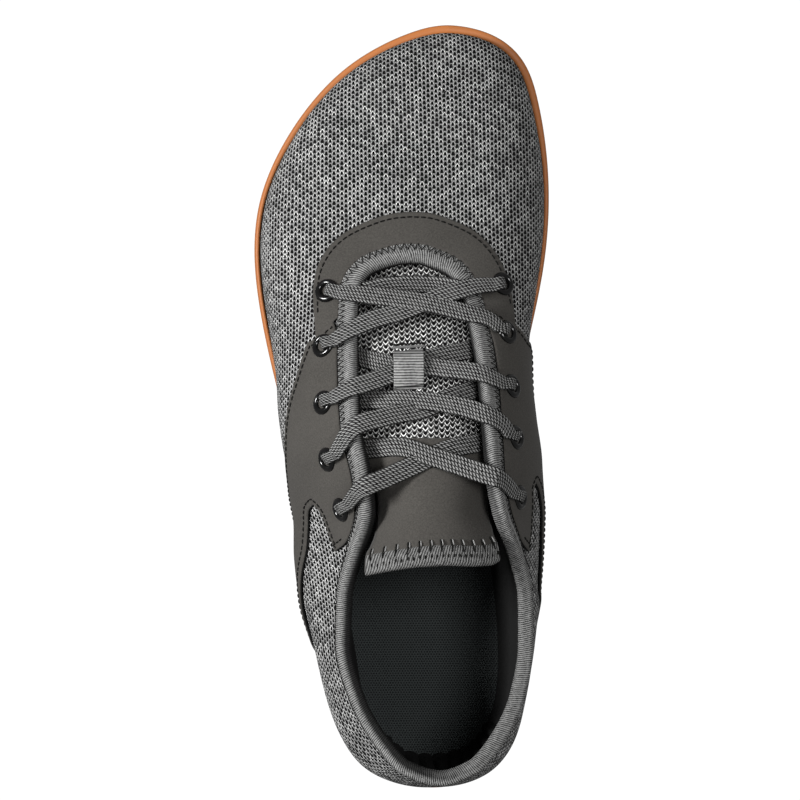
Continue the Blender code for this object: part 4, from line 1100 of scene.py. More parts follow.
def knit_finish(name, pitch, row, dark, light, hole, slope):
    """Open knit: dark holes in staggered columns, with V stitches of a mottled yarn between them."""
    n = Finish(name, 0.95, specular=0.08)
    u, v = n.cloth()
    u = n.math("MULTIPLY_ADD", n.noise(90.0, 2.0), 0.5, u)
    v = n.math("MULTIPLY_ADD", n.noise(70.0, 2.0), 0.6, v)
    column = n.math("DIVIDE", u, pitch)
    nearest = n.math("ROUND", column)
    across = n.math("ABSOLUTE", n.math("SUBTRACT", column, nearest))
    odd = n.math("PINGPONG", nearest, 1.0)
    climb = n.math("MULTIPLY_ADD", odd, 0.5, n.math("DIVIDE", v, row))
    stitch = n.math("ROUND", climb)
    along = n.math("SUBTRACT", climb, stitch)
    luck = n.chance(nearest, stitch)
    size = n.math("MULTIPLY_ADD", luck, 0.30, 0.85)
    wide = n.math("DIVIDE", across, n.math("MULTIPLY_ADD", along, 0.35 * slope, hole[0]))
    tall = n.math("DIVIDE", along, hole[1])
    far = n.distance(wide, tall)
    yarn = n.step(n.math("DIVIDE", far, size), 0.88, 1.12)
    line = n.math("MULTIPLY_ADD", across, slope, -0.42 * slope)
    off = n.math("SUBTRACT", n.math("FRACT", n.math("ADD", n.math("SUBTRACT", along, line), 0.5)), 0.5)
    vee = n.step(n.math("ABSOLUTE", off), 0.06, 0.24, 1.0, 0.0)
    patch = n.noise(45.0, 3.0)
    shine = n.math("MULTIPLY", vee, n.math("MULTIPLY_ADD", n.chance(stitch, nearest), 0.60, 0.45))
    shine = n.math("MULTIPLY_ADD", patch, 0.16, n.math("MULTIPLY_ADD", shine, 0.95, -0.06))
    fibre = n.mix(n.math("MAXIMUM", shine, 0.0), dark, light)
    n.colour(n.mix(yarn, (0.004, 0.004, 0.004, 1.0), fibre))
    n.bump(n.math("MULTIPLY_ADD", vee, 0.5, yarn), 0.0004, 0.8)
    return n.material


def webbing_finish(name, pitch, start, dark, light):
    """Webbing with ribs across it, dark in the grooves. Pitch and start are in metres."""
    n = Finish(name, 0.9, specular=0.12)
    _, v = n.cloth()
    rib = n.wave(n.math("SUBTRACT", v, start * 1000), pitch * 1000)
    fleck = n.noise(1100.0, 2.0)
    level = n.math("MULTIPLY_ADD", n.step(rib, 0.05, 0.55), 0.75, n.math("MULTIPLY_ADD", fleck, 0.7, -0.25))
    n.colour(n.blend(level, dark, light))
    n.bump(rib, 0.0002, 0.8)
    return n.material


def suede_finish(name, base):
    n = Finish(name, 0.95, sheen=0.06, specular=0.15)
    grain = n.noise(1900.0, 2.0, rough=0.7)
    cloud = n.noise(55.0, 3.0)
    level = n.math("MULTIPLY_ADD", grain, 1.5, n.math("MULTIPLY_ADD", cloud, 0.5, -0.5))
    n.colour(n.blend(level, scaled(base, 0.62), scaled(base, 1.42)))
    n.bump(grain, 0.00018, 0.5)
    return n.material


def cloth_finish(name, base, grain_scale):
    n = Finish(name, 0.92, specular=0.12)
    grain = n.noise(grain_scale, 3.0, rough=0.65)
    n.colour(n.mix(grain, scaled(base, 0.55), scaled(base, 1.5)))
    n.bump(grain, 0.0002, 0.5)
    return n.material


def rib_finish(name, pitch, dark, light, seam):
    """Ribbed elastic: fine ribs across the band, in a herringbone on the stitched side of the seam line.

    It carries painted shade: darker where it turns down into the shoe, least at the inner side's collar,
    which is painted lighter.
    """
    n = Finish(name, 0.9, specular=0.12)
    u, v = n.cloth()
    beyond = n.math("SUBTRACT", seam, v)
    herringbone = n.math("ABSOLUTE", n.math("SUBTRACT", beyond, 1.3))
    slant = n.math("MULTIPLY", n.step(beyond, -0.05, 0.1), herringbone)
    lean = n.math("MULTIPLY_ADD", slant, 0.8, n.math("MULTIPLY_ADD", v, 0.22, u))
    rib = n.wave(n.math("MULTIPLY_ADD", n.noise(260.0, 1.0), 0.35, lean), pitch)
    fleck = n.noise(900.0, 2.0)
    level = n.math("MULTIPLY_ADD", n.step(rib, 0.15, 0.85), 0.72, n.math("MULTIPLY_ADD", fleck, 0.7, -0.22))
    # Painted shade: the ribs are darkened where the band turns down into the shoe, and painted lighter on the
    # inner side's collar.
    spot = n.node("SeparateXYZ")
    n.feed(spot.inputs[0], n.place())
    inner_side = n.step(spot.outputs[0], 0.0, 0.025, 0.0, 0.8)
    collar = n.step(spot.outputs[1], -0.050, -0.010, 1.0, 0.0)
    turn_in_painted_shade = n.step(v, 8.1, 10.0, 1.0, 0.05)
    painted_lit_share = n.math("MAXIMUM", turn_in_painted_shade, n.math("MULTIPLY", inner_side, collar))
    level = n.math("MULTIPLY", n.math("MAXIMUM", level, 0.0), painted_lit_share)
    n.colour(n.mix(n.math("MINIMUM", level, 1.0), dark, light))
    n.bump(rib, 0.0002, 0.8)
    return n.material


def braid_finish(name, dark, light):
    """Flat braid: lanes of short slanted strands with dark pits between them, and a cord along each edge."""
    n = Finish(name, 0.85, specular=0.12)
    u, v = n.cloth()
    lane = n.math("DIVIDE", v, LANE_WIDE)
    number = n.math("ROUND", lane)
    inside = n.math("SUBTRACT", lane, number)
    odd = n.math("PINGPONG", number, 1.0)
    phase = n.math("MULTIPLY_ADD", inside, STRAND_LEAN, n.math("DIVIDE", u, STRAND_PITCH))
    strand = n.wave(n.math("MULTIPLY_ADD", odd, 0.5, phase), 1.0)
    groove = n.step(n.math("ABSOLUTE", inside), 0.28, 0.46, 1.0, 0.0)
    body = n.math("MULTIPLY", n.step(strand, 0.28, 0.70), groove)
    fleck = n.noise(700.0, 2.0)
    level = n.math("MULTIPLY_ADD", body, 0.95, n.math("MULTIPLY_ADD", fleck, 0.5, -0.20))
    n.colour(n.blend(level, dark, light))
    n.bump(body, 0.0003, 0.8)
    return n.material


def gum_finish():
    n = Finish("gum_rubber", 0.6, specular=0.25)
    cloud = n.noise(30.0, 3.0)
    grain = n.noise(1500.0, 2.0)
    warm = n.mix(cloud, tint(158, 96, 50), tint(170, 108, 62))
    n.colour(n.mix(n.math("MULTIPLY", grain, 0.35), warm, tint(138, 72, 32)))
    n.roughness(n.step(cloud, 0.3, 0.7, 0.42, 0.58))
    n.bump(grain, 0.00006, 0.4)
    return n.material


def insole_finish():
    """Charcoal cloth with a close honeycomb of small dents."""
    n = Finish("insole_cloth", 0.9, specular=0.25)
    u, v = n.cloth()
    row = 0.87
    lines = n.math("DIVIDE", v, row)
    number = n.math("ROUND", lines)
    up = n.math("MULTIPLY", n.math("SUBTRACT", lines, number), row)
    odd = n.math("PINGPONG", number, 1.0)
    dots = n.math("MULTIPLY_ADD", odd, 0.5, u)
    side = n.math("SUBTRACT", dots, n.math("ROUND", dots))
    far = n.distance(up, side)
    flat = n.step(far, 0.22, 0.42)
    cloud = n.noise(25.0, 2.0)
    cloth = n.mix(cloud, tint(46, 50, 50), tint(60, 64, 64))
    n.colour(n.mix(flat, tint(20, 23, 24), cloth))
    n.bump(flat, 0.0002, 0.6)
    return n.material


def plain_finish(name, base, roughness):
    n = Finish(name, roughness)
    speck = n.noise(400.0, 2.0)
    n.colour(n.mix(speck, scaled(base, 0.75), scaled(base, 1.3)))
    n.bump(speck, 0.00003, 0.3)
    return n.material


GUM = gum_finish()
KNIT_YARN = (tint(104, 104, 104), tint(255, 255, 253))
TONGUE_YARN = (tint(36, 36, 36), tint(244, 244, 242))
KNIT = knit_finish("knit_upper", 1.42, 1.88, *KNIT_YARN, (0.40, 0.41), -0.95)
TONGUE_KNIT = knit_finish("knit_tongue", 1.87, 1.80, *TONGUE_YARN, (0.33, 0.32), 1.05)
SUEDE = suede_finish("micro_suede", tint(60, 58, 55))
CUT_EDGE = cloth_finish("cut_edge", tint(16, 16, 16), 900.0)
LINING = cloth_finish("lining_cloth", tint(24, 24, 24), 700.0)
INSOLE = insole_finish()
RIBS = rib_finish("ribbed_elastic", RIB_PITCH * 1000, tint(10, 10, 10), tint(142, 142, 141), 2.9)
BRAID = braid_finish("lace_braid", tint(3, 3, 3), tint(132, 132, 131))
BAND = rib_finish("band_elastic", 0.80, tint(16, 16, 16), tint(128, 128, 127), -9.0)
WEBBING_YARN = (tint(14, 14, 14), tint(150, 150, 149))
WEBBING = webbing_finish("keeper_webbing", KEEPER_RIB, KEEPER_FIRST_RIB, *WEBBING_YARN)
THREAD = cloth_finish("dark_thread", tint(16, 16, 15), 1500.0)
PALE_THREAD = cloth_finish("grey_thread", tint(128, 128, 127), 1500.0)
GLOSS = plain_finish("eyelet_enamel", tint(3, 3, 3), 0.16)
BARREL = plain_finish("eyelet_barrel", tint(5, 5, 5), 0.5)


def raise_points(plan, height):
    """Points this high above the sole's underside, which springs at its ends."""
    return np.column_stack([plan, height + spring(plan[:, 1])])


# Upper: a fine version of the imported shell, with the knit's columns along the shoe
FINE_ANGLES = np.linspace(0, 2 * math.pi, 480, endpoint=False)
FINE_REACHES = np.linspace(0, 1, 57)
# The knit's columns run along the shoe ahead of the second y, and round the heel behind the first
HEEL_TURNS = (-0.100, -0.060)
WALL_STRETCH = 0.6
# Above this reach the two sides' directions blend, so the knit runs on over the toe's ridge
RIDGE_BLEND = 0.7


def fabric_map(angles, reaches, points):
    """Distances across and along the knit, walked over the surface from the crest."""
    angle_grid, reach_grid = np.meshgrid(angles, reaches, indexing="ij")
    normal = last_normal(angle_grid, reach_grid)
    middle = len(angles) // 2
    ridge = over_ridge(angles)
    first = int(np.argmin(np.abs(reaches - RIDGE_BLEND)))
    sound = normal[:, first]
    other = sound[(-np.arange(len(angles))) % len(angles)]
    share = ((reaches[first:] - reaches[first]) / (1 - reaches[first]) / 2)[None, :, None]
    normal[ridge, first:] = unit(sound[:, None] * (1 - share) + other[:, None] * share)[ridge]
    small = 2e-3
    round_way = last(angle_grid + small, reach_grid) - last(angle_grid - small, reach_grid)
    round_way *= np.where(angle_grid < math.pi, 1.0, -1.0)[..., None]
    forward = np.zeros_like(normal)
    forward[..., 1] = 1.0
    forward[..., 2] = -np.clip(normal[..., 1], 0, 1) ** 2
    share = np.clip((points[..., 1] - HEEL_TURNS[0]) / (HEEL_TURNS[1] - HEEL_TURNS[0]), 0, 1)[..., None]
    along = forward * share + unit(round_way) * (1 - share)
    along = unit(along - normal * np.sum(along * normal, axis=-1, keepdims=True))
    across = np.cross(along, normal)
    crest_row = len(reaches) - 1
    u = np.zeros(points.shape[:2])
    v = np.zeros(points.shape[:2])
    for way in (1, -1):
        at = middle
        for _ in range(middle):
            to = (at + way) % len(angles)
            move = points[to, crest_row] - points[at, crest_row]
            mean_across = across[to, crest_row] + across[at, crest_row]
            mean_along = along[to, crest_row] + along[at, crest_row]
            if to == 0 and way == 1:
                break
            u[to, crest_row] = u[at, crest_row] + move @ mean_across / 2
            v[to, crest_row] = v[at, crest_row] + move @ mean_along / 2
            at = to
    for r in range(crest_row - 1, -1, -1):
        move = (points[:, r] - points[:, r + 1]) * (1.0, 1.0, WALL_STRETCH)
        u[:, r] = u[:, r + 1] + np.sum(move * (across[:, r] + across[:, r + 1]), axis=1) / 2
        v[:, r] = v[:, r + 1] + np.sum(move * (along[:, r] + along[:, r + 1]), axis=1) / 2
    return np.stack([u, v], -1) * 10


def build_upper():
    angle_grid, reach_grid = np.meshgrid(FINE_ANGLES, FINE_REACHES, indexing="ij")
    outside = last(angle_grid, reach_grid)
    cloth = fabric_map(FINE_ANGLES, FINE_REACHES, outside)
    foot = raise_points(outline(FINE_ANGLES, feather(FINE_ANGLES))[0], CUP_FLOOR + GAP)
    outside = np.concatenate([foot[:, None], outside], axis=1)
    drop = (outside[:, 1, 2] - foot[:, 2]) * 10
    low = cloth[:, :1] + np.stack([-np.sign(math.pi - FINE_ANGLES) * drop, 0 * drop], -1)[:, None]
    cloth = np.concatenate([low, cloth], axis=1)
    closing = cloth[:1] * np.array([-1.0, 1.0])
    cloth = np.concatenate([cloth, closing], axis=0)
    inside = skin(angle_grid, reach_grid, -WALL)
    inner_foot = raise_points(outline(FINE_ANGLES, feather(FINE_ANGLES) + WALL)[0], CUP_FLOOR + GAP)
    inside = np.concatenate([inner_foot[:, None], inside], axis=1)
    shape = Shape()
    shape.grid(outside, cloth, wrap_rows=True)
    shape.grid(inside, cloth, wrap_rows=True, part=1)
    ridge = over_ridge(FINE_ANGLES)
    top = np.stack([outside[:, -1], inside[:, -1]], 1)
    ends = np.stack([cloth[:, -1], cloth[:, -1]], 1)
    closed = ridge & np.roll(ridge, -1)
    shape.grid(top, ends, wrap_rows=True, part=1, skip=lambda r, c: closed[r])
    foot_ring = np.stack([foot, inner_foot], 1)
    shape.grid(foot_ring, ends, wrap_rows=True, part=1)
    shape.piece("upper_knit", (KNIT, LINING), ("upper",))


# Sole
SOLE_PROFILE = (
    # inset from the outline, or from the wall's inner face where below zero, and
    # height above the ground or, with True, above the rim
    (TREAD_INSET, 0.0020, False),
    (0.0055, 0.0022, False),
    (0.0036, 0.0030, False),
    (0.0022, 0.0042, False),
    (0.0011, 0.0058, False),
    (0.0003, 0.0076, False),
    (0.0, 0.0095, False),
    (RIM_LEAN * 0.8, -0.0012, True),
    (RIM_LEAN + 0.0001, -0.0004, True),
    (RIM_LEAN + 0.0005, 0.0, True),
    (-0.0005, 0.0, True),
    (-0.0001, -0.0004, True),
    (-0.00001, -0.0012, True),
    (-0.00001, CUP_FLOOR, False),
)
# Lugs, curved bars and the plate: how far in from the plan's edge, and height above the ground
LUG_PROFILE = (
    (0.0, 0.0023),
    (0.0003, 0.0006),
    (0.0005, 0.00015),
    (0.0008, 0.0),
    (0.0014, 0.0),
    (0.0017, 0.0004),
    (0.0019, 0.0008),
)
BAR_PROFILE = ((0.0, 0.0023), (0.0003, 0.0006), (0.0005, 0.0001), (0.0008, 0.0))
PLATE_PROFILE = (
    (0.0, 0.0023),
    (0.0004, 0.0005),
    (0.0009, 0.0),
    (0.0018, 0.0),
    (0.0023, 0.0006),
    (0.0030, 0.0007),
)
LUG_ROUNDING = 0.0016


def rounded_triangle(corners, inset, soften):
    """Points round a triangle moved in by this much, with its corners rounded."""
    a, b, c = (np.array(p) for p in corners)
    sides = (np.linalg.norm(b - c), np.linalg.norm(c - a), np.linalg.norm(a - b))
    rim = sum(sides)
    middle = (a * sides[0] + b * sides[1] + c * sides[2]) / rim
    area = abs((b - a)[0] * (c - a)[1] - (b - a)[1] * (c - a)[0]) / 2
    share = max(1 - inset * rim / (2 * area), 0.06)
    moved = [middle + (p - middle) * share for p in (a, b, c)]
    points = []
    for i in range(3):
        here = moved[i]
        before = here + unit(moved[i - 1] - here) * soften * share
        after = here + unit(moved[(i + 1) % 3] - here) * soften * share
        for t in (0.0, 0.33, 0.67, 1.0):
            points.append((1 - t) ** 2 * before + 2 * t * (1 - t) * here + t * t * after)
    return np.array(points)


def build_sole():
    shape = Shape()
    rings = []
    for inset, height, at_rim in SOLE_PROFILE:
        full = RIM_LEAN + rim_wall(FINE_ANGLES)
        plan, _ = outline(FINE_ANGLES, full + inset if inset < 0 else inset)
        level = rim_height(FINE_ANGLES) + height if at_rim else height + spring(plan[:, 1])
        rings.append(np.column_stack([plan, level]))
    grid = np.stack(rings, 1)
    flat = runs(np.arange(len(FINE_ANGLES)) * 0.01, np.arange(len(rings)) * 0.01)
    shape.grid(grid, np.concatenate([flat, flat[:1]]), wrap_rows=True)
    half = len(FINE_ANGLES) // 2
    for edge in (rings[0], rings[-1]):
        left = edge[: half + 1]
        right = edge[(-np.arange(half + 1)) % len(edge)]
        shares = np.linspace(0, 1, 9)[None, :, None]
        floor = left[:, None] * (1 - shares) + right[:, None] * shares
        shape.grid(floor)
    border, _ = outline(ANGLES, TREAD_INSET)
    for corners in lug_triangles(border):
        loops = [raise_points(rounded_triangle(corners, inset, LUG_ROUNDING), z) for inset, z in LUG_PROFILE]
        shape.grid(loops, wrap_columns=True)
        shape.face(loops[-1][::-1])
    for bar in wave_bars(border):
        loops = [raise_points(np.array(shrink(bar, inset)), z) for inset, z in BAR_PROFILE]
        shape.grid(loops, wrap_columns=True)
        side = len(bar) // 2
        shape.grid([loops[-1][:side], loops[-1][side:][::-1]])
    loops = [raise_points(np.array(plate_outline(64, -inset)), z) for inset, z in PLATE_PROFILE]
    shape.grid(loops, wrap_columns=True)
    shape.face(loops[-1][::-1])
    shape.piece("sole", (GUM,), ("outsole",), weld=1e-6)


# The insole rises a little towards its edges
CUP_RISE = 0.0022
CUP_WIDE = 0.007


def build_insole():
    shape = Shape()
    half = len(FINE_ANGLES) // 2
    top = CUP_FLOOR + GAP + INSOLE_THICK
    shares = np.linspace(0, 1, 41)
    plan, _ = outline(FINE_ANGLES, insole_inset(FINE_ANGLES))
    left = plan[: half + 1]
    right = plan[(-np.arange(half + 1)) % len(plan)]
    flat = left[:, None] * (1 - shares[None, :, None]) + right[:, None] * shares[None, :, None]
    width = np.linalg.norm(left - right, axis=1)[:, None]
    from_side = np.minimum(shares[None], 1 - shares[None]) * width
    cup = CUP_RISE * np.exp(-((from_side / CUP_WIDE) ** 2))
    upper_face = np.concatenate([flat, (top + cup + spring(flat[..., 1]))[..., None]], -1)
    lower_face = np.concatenate([flat, (CUP_FLOOR + GAP + spring(flat[..., 1]))[..., None]], -1)
    shape.grid(upper_face)
    shape.grid(lower_face)
    for edge in (0, -1):
        shape.grid(np.stack([upper_face[:, edge], lower_face[:, edge]], 1))
    shape.piece("insole_board", (INSOLE,), ("insole",))


# Lining: soft black cloth from under the binding down to the insole, with a gathered edge at the heel.
# It ends at this share of LENGTH on both sides, and each gather takes this much of the ring angle.
LINING_END = 0.46
GATHER_TURN = 0.09
# The gathers fade out over the second angle before the first
GATHER_END = 0.62
GATHER_FADE = 0.12
GATHER_DEPTH = 0.0011
GATHER_PUFF = 0.0014
# angle, and how far the lining's lower end lies in from the insole's edge
LINING_WIDTH = (
    (-1.70, 0.0030),
    (-0.90, 0.0050),
    (-0.44, 0.0064),
    (0.02, 0.0060),
    (0.17, 0.0058),
    (0.31, 0.0078),
    (0.66, 0.0064),
    (1.00, 0.0064),
    (1.70, 0.0035),
)


def build_lining():
    edge = ring(LINING_END)
    angles = np.linspace(-edge, edge, 700)
    depths = np.linspace(0, 1, 22)
    start = skin(angles, np.full_like(angles, 0.96), -WALL - 0.0004)
    fade = np.clip((GATHER_END - np.abs(angles)) / GATHER_FADE, 0, 1)
    scallop = np.abs(np.sin(math.pi * angles / GATHER_TURN)) ** 0.6
    width = np.interp(angles, *zip(*LINING_WIDTH)) + GATHER_DEPTH * fade * scallop
    foot, out = outline(angles, insole_inset(angles) + 0.0005)
    end_plan = foot - out * width[:, None]
    floor = CUP_FLOOR + GAP + INSOLE_THICK + spring(end_plan[:, 1])
    end = np.column_stack([end_plan, floor + 0.0012])
    wall = np.column_stack([foot - out * 0.0012, floor + 0.0105])
    t = depths[None, :, None]
    sheet = (1 - t) ** 2 * start[:, None] + 2 * t * (1 - t) * wall[:, None] + t**2 * end[:, None]
    puff = GATHER_PUFF * np.sin(depths * math.pi)[None] ** 2 * (fade * scallop)[:, None]
    sheet[..., :2] -= out[:, None] * puff[..., None]
    tuck = np.column_stack([end_plan + out * 0.0010, floor - 0.0004])
    sheet = np.concatenate([sheet, tuck[:, None]], 1)
    shape = Shape()
    shape.grid(sheet)
    shape.piece("lining", (LINING,))


# Overlays: sheets with soft edges, draped over the knit, with a stitch line inside the edge
EDGE_PROFILE = ((0.0, -0.1), (0.0, 0.55), (0.00025, 0.92), (0.0007, 1.0))
STITCH_INSET = 0.0021
STITCH_LENGTH = 0.0018
STITCH_GAP = 0.0006
STITCH_RADIUS = 0.00030
SHARP_TURN = math.cos(math.radians(42))


def smooth_border(corners, spacing=0.0008):
    """Dense points on the upper along a border through these places, sharp only where it turns hard."""
    angle = np.array([c[0] for c in corners])
    reach = np.array([c[1] for c in corners])
    points = last(angle, reach)
    before = unit(points - np.roll(points, 1, axis=0))
    after = unit(np.roll(points, -1, axis=0) - points)
    sharp = [i for i in range(len(points)) if before[i] @ after[i] < SHARP_TURN]
    lines = []
    for k, start in enumerate(sharp):
        end = sharp[(k + 1) % len(sharp)]
        stop = end if end > start else end + len(points)
        stretch = points[np.arange(start, stop + 1) % len(points)]
        length = lengths_along(stretch)[-1]
        count = max(3, int(length / spacing) + 1)
        lines.append(path_through(stretch, count)[:-1])
    return np.concatenate(lines)


def build_quarter(name, node, pairs, side, start, end):
    corners = [(flow(side, along), reach) for along, reach in pairs]
    corners += beside_binding(side, start, end)
    line = smooth_border(corners)
    angle, reach = nearest_on_upper(line)
    along = unit(np.roll(line, -1, axis=0) - np.roll(line, 1, axis=0))
    inward = np.cross(last_normal(angle, reach), along)
    tries = np.column_stack(nearest_on_upper(line + inward * 0.001))
    if inside_many(np.column_stack([angle, reach]), tries).mean() < 0.5:
        inward = -inward
    shape = Shape()
    rings = []
    for inset, share in EDGE_PROFILE:
        a, r = nearest_on_upper(line + inward * inset)
        rings.append(skin(a, r, OVERLAY_LIFT + share * OVERLAY_THICK))
    grid = np.stack(rings, 1)
    uvs = grid[..., :2] * 10
    closing = np.concatenate([uvs, uvs[:1]])
    shape.grid(grid[:, :2], closing[:, :2], wrap_rows=True, part=1)
    shape.grid(grid[:, 1:], closing[:, 1:], wrap_rows=True)
    border = np.column_stack([a, r])
    angle_grid, reach_grid = np.meshgrid(FINE_ANGLES, np.linspace(0, 1, 41)[1:-1], indexing="ij")
    spots = np.column_stack([angle_grid.ravel(), reach_grid.ravel()])
    spots = spots[inside_many(border, spots)]
    gap = np.min(np.linalg.norm(spots[:, None] - border[None], axis=2), axis=1)
    spots = spots[gap > 0.008]
    places = np.concatenate([border, spots])
    found = delaunay_2d_cdt([Vector(p) for p in places], [], [list(range(len(border)))], 1, 1e-9)
    flat = np.array([(p.x, p.y) for p in found[0]])
    top = skin(flat[:, 0], flat[:, 1], OVERLAY_LIFT + OVERLAY_THICK)
    shape.triangles(top, [tuple(f) for f in found[2]])
    shape.piece(name, (SUEDE, CUT_EDGE), (node,), weld=2e-5)
    a, r = nearest_on_upper(line + inward * STITCH_INSET)
    sewn = skin(a, r, OVERLAY_LIFT + OVERLAY_THICK)
    seen = len(corners) - 9
    first_bound = last(np.array([corners[seen][0]]), np.array([corners[seen][1]]))[0]
    away = np.linalg.norm(line - first_bound, axis=1)
    stop = int(np.argmin(away))
    sew(name + "_stitches", sewn[: stop - 2], last_normal(a, r)[: stop - 2])


def sew(name, line, normals):
    threads = Shape()
    stitches(threads, line, normals, STITCH_LENGTH, STITCH_GAP, STITCH_RADIUS)
    threads.piece(name, (THREAD,))


# The band round the front of the throat reaches this far to each side along the edge, spreads by this much
# more at its outer edge, and runs on this far under the quarter overlays
FRONT_REACH = 0.0262
FRONT_SPREAD = 0.0115 * FRONT_BACK_SLANT
FRONT_TUCK = 0.0080
FRONT_LIFT = 0.45


def build_front():
    """The band round the front of the throat; its ends run under the quarter overlays."""
    walk, width = columns(FRONT_WIDTH, 0, 1)
    start_away = OVERLAY_START - 0.0006
    shares = np.linspace(0, 1, 14)
    profile = [(0.0, 0.0, -0.1), (0.0, 0.0, 0.9)]
    profile += [(float(s), 0.0, 1.0) for s in shares[1:-1]]
    profile += [(1.0, -0.0007, 1.0), (1.0, -0.00025, 0.92), (1.0, 0.0, 0.55), (1.0, 0.0, -0.1)]
    count = 150
    lines = []
    for share, shift, level in profile:
        start = -FRONT_REACH - share * FRONT_SPREAD - FRONT_TUCK
        end = FRONT_REACH + share * FRONT_SPREAD * 1.5 + FRONT_TUCK
        place = np.linspace(start, end, count)
        away = start_away + share * (np.interp(place, walk, width) - start_away) + shift
        lines.append(beside_edge(place, away, OVERLAY_LIFT + (level - 1 + FRONT_LIFT) * OVERLAY_THICK))
    grid = np.stack(lines, 1)
    shape = Shape()
    shape.grid(grid[:, :-2])
    shape.grid(grid[:, -3:], part=1)
    shape.piece("front_band", (SUEDE, CUT_EDGE), ("front_overlay",))
    place = np.linspace(-FRONT_REACH - FRONT_SPREAD + 0.002, FRONT_REACH + FRONT_SPREAD * 1.5 - 0.002, 160)
    away = np.interp(place, walk, width) - STITCH_INSET
    sewn = beside_edge(place, away, OVERLAY_LIFT + FRONT_LIFT * OVERLAY_THICK)
    sew("front_band_stitches", sewn, edge_frame(place)[2])


# Binding: ribbed elastic rolled over the edge, held by a zigzag stitch. Distance from the edge, and lift.
BINDING_FINE = (
    (0.0058, 0.0001),
    (0.0057, 0.0008),
    (0.0050, 0.0012),
    (0.0038, 0.0013),
    (0.0024, 0.0016),
    (0.0010, 0.0018),
    (-0.0001, 0.0016),
    (-0.0007, 0.0010),
    (-0.0010, -0.0001),
    (-0.0011, -0.0014),
    (-0.0009, -0.0025),
    (-0.0003, -0.0032),
    (0.0007, -0.0035),
    (0.0020, -0.0034),
    (0.0026, -0.0026),
)
RIB_DEPTH = 0.00010
ZIGZAG_PITCH = 0.0021
ZIGZAG_IN = 0.0030
ZIGZAG_OUT = 0.0057


def build_binding():
    count = 2200
    distances = np.linspace(0, EDGE_LENGTH, count, endpoint=False)
    section = np.array(BINDING_FINE)
    arc = lengths_along(section)
    way = unit(np.gradient(section, axis=0))
    outward = np.column_stack([way[:, 1], -way[:, 0]])
    ribs = 0.5 - 0.5 * np.cos(2 * math.pi * distances / RIB_PITCH)
    rise = RIB_DEPTH * (ribs - 0.5)
    rows = []
    for spot, out in zip(section, outward):
        rows.append(binding_row(distances, spot[0] + out[0] * rise, spot[1] + out[1] * rise))
    grid = np.stack(rows, 1)
    uvs = runs(np.append(distances, EDGE_LENGTH) * 10, np.append(arc, arc[-1] + 0.002) * 10)
    shape = Shape()
    shape.grid(grid, uvs, wrap_rows=True, wrap_columns=True)
    shape.piece("ribbed_binding", (RIBS,), ("edge_binding",), weld=1e-7)
    turns = int(EDGE_LENGTH / ZIGZAG_PITCH)
    corners = np.arange(turns * 6)
    places = corners * EDGE_LENGTH / len(corners)
    swing = np.abs((corners / 6) % 1 * 2 - 1)
    away = ZIGZAG_IN + (ZIGZAG_OUT - ZIGZAG_IN) * swing
    lift = np.interp(away, [0.0024, 0.0050, 0.0058], [0.0016, 0.0013, 0.0007]) + 0.00012
    threads = Shape()
    line = binding_row(places, away, lift)
    tube(threads, line, 0.00016, 5, edge_frame(places)[2], True)
    threads.piece("binding_zigzag", (THREAD,))


def binding_row(distances, away, lift):
    """Like beside_edge, with a lift for each point."""
    low = beside_edge(distances, away, 0.0)
    high = beside_edge(distances, away, 0.001)
    return low + (high - low) * (np.asarray(lift) / 0.001)[..., None]


# Eyelets
def build_eyelets():
    profile = np.array(
        [
            (0.0019, -0.0034),
            (0.0020, -0.0004),
            (0.0021, 0.0004),
            (0.0025, 0.0009),
            (0.0031, 0.0011),
            (0.0037, 0.0009),
            (0.0041, 0.0005),
            (0.0043, 0.0),
            (0.0042, -0.0003),
        ]
    )
    turns = np.linspace(0, 2 * math.pi, 36, endpoint=False)
    for side, spots in (("outer", EYELETS_OUTER), ("inner", EYELETS_INNER)):
        for number, (along, reach) in enumerate(spots, 1):
            base, first, second, normal = eyelet_frame(side, along, reach)
            lift = OVERLAY_LIFT + OVERLAY_THICK
            way = first[None] * np.cos(turns)[:, None] + second[None] * np.sin(turns)[:, None]
            grid = base + way[:, None] * profile[None, :, :1] + normal * (profile[None, :, 1:] + lift)
            uvs = runs(np.arange(len(turns) + 1) * 0.008, np.arange(len(profile)) * 0.005)
            shape = Shape()
            shape.grid(grid[:, :3], uvs[:, :3], wrap_rows=True, part=1)
            shape.grid(grid[:, 2:], uvs[:, 2:], wrap_rows=True)
            shape.face(grid[::-1, 0], part=1)
            name = f"eyelet_{side}_{number}"
            shape.piece(name + "_ring", (GLOSS, BARREL), (name,))


# Tongue: knit at the front, suede behind it, and a ribbed band over its end
TONGUE_END = (
    # place across the tongue, and share of LENGTH where the band starts
    (-1.0, 0.2965),
    (-0.6, 0.3045),
    (-0.2, 0.3095),
    (0.2, 0.3110),
    (0.6, 0.3095),
    (0.85, 0.3100),
    (1.0, 0.3150),
)
SUEDE_FRONT = 0.463
# The band's section: share of LENGTH ahead of its start, and lift over the tongue's face
BAND_PROFILE = (
    (0.0232, 0.0006),
    (0.0224, 0.0013),
    (0.01392, 0.0019),
    (0.004, 0.0022),
    (0.0, 0.0017),
    (-0.0022, 0.0002),
    (-0.0024, -0.0016),
    (0.0, -0.0034),
    (0.004, -0.0040),
    (0.014, -0.0038),
    (0.0232, -0.0036),
)
BAND_WIDE = 0.0232
WHIPS = 12

tongue_end = steady(*columns(TONGUE_END, 0, 1))


def under_band(across):
    """Where the suede starts, a little ahead of the band's own start."""
    return tongue_end(across) + 0.002


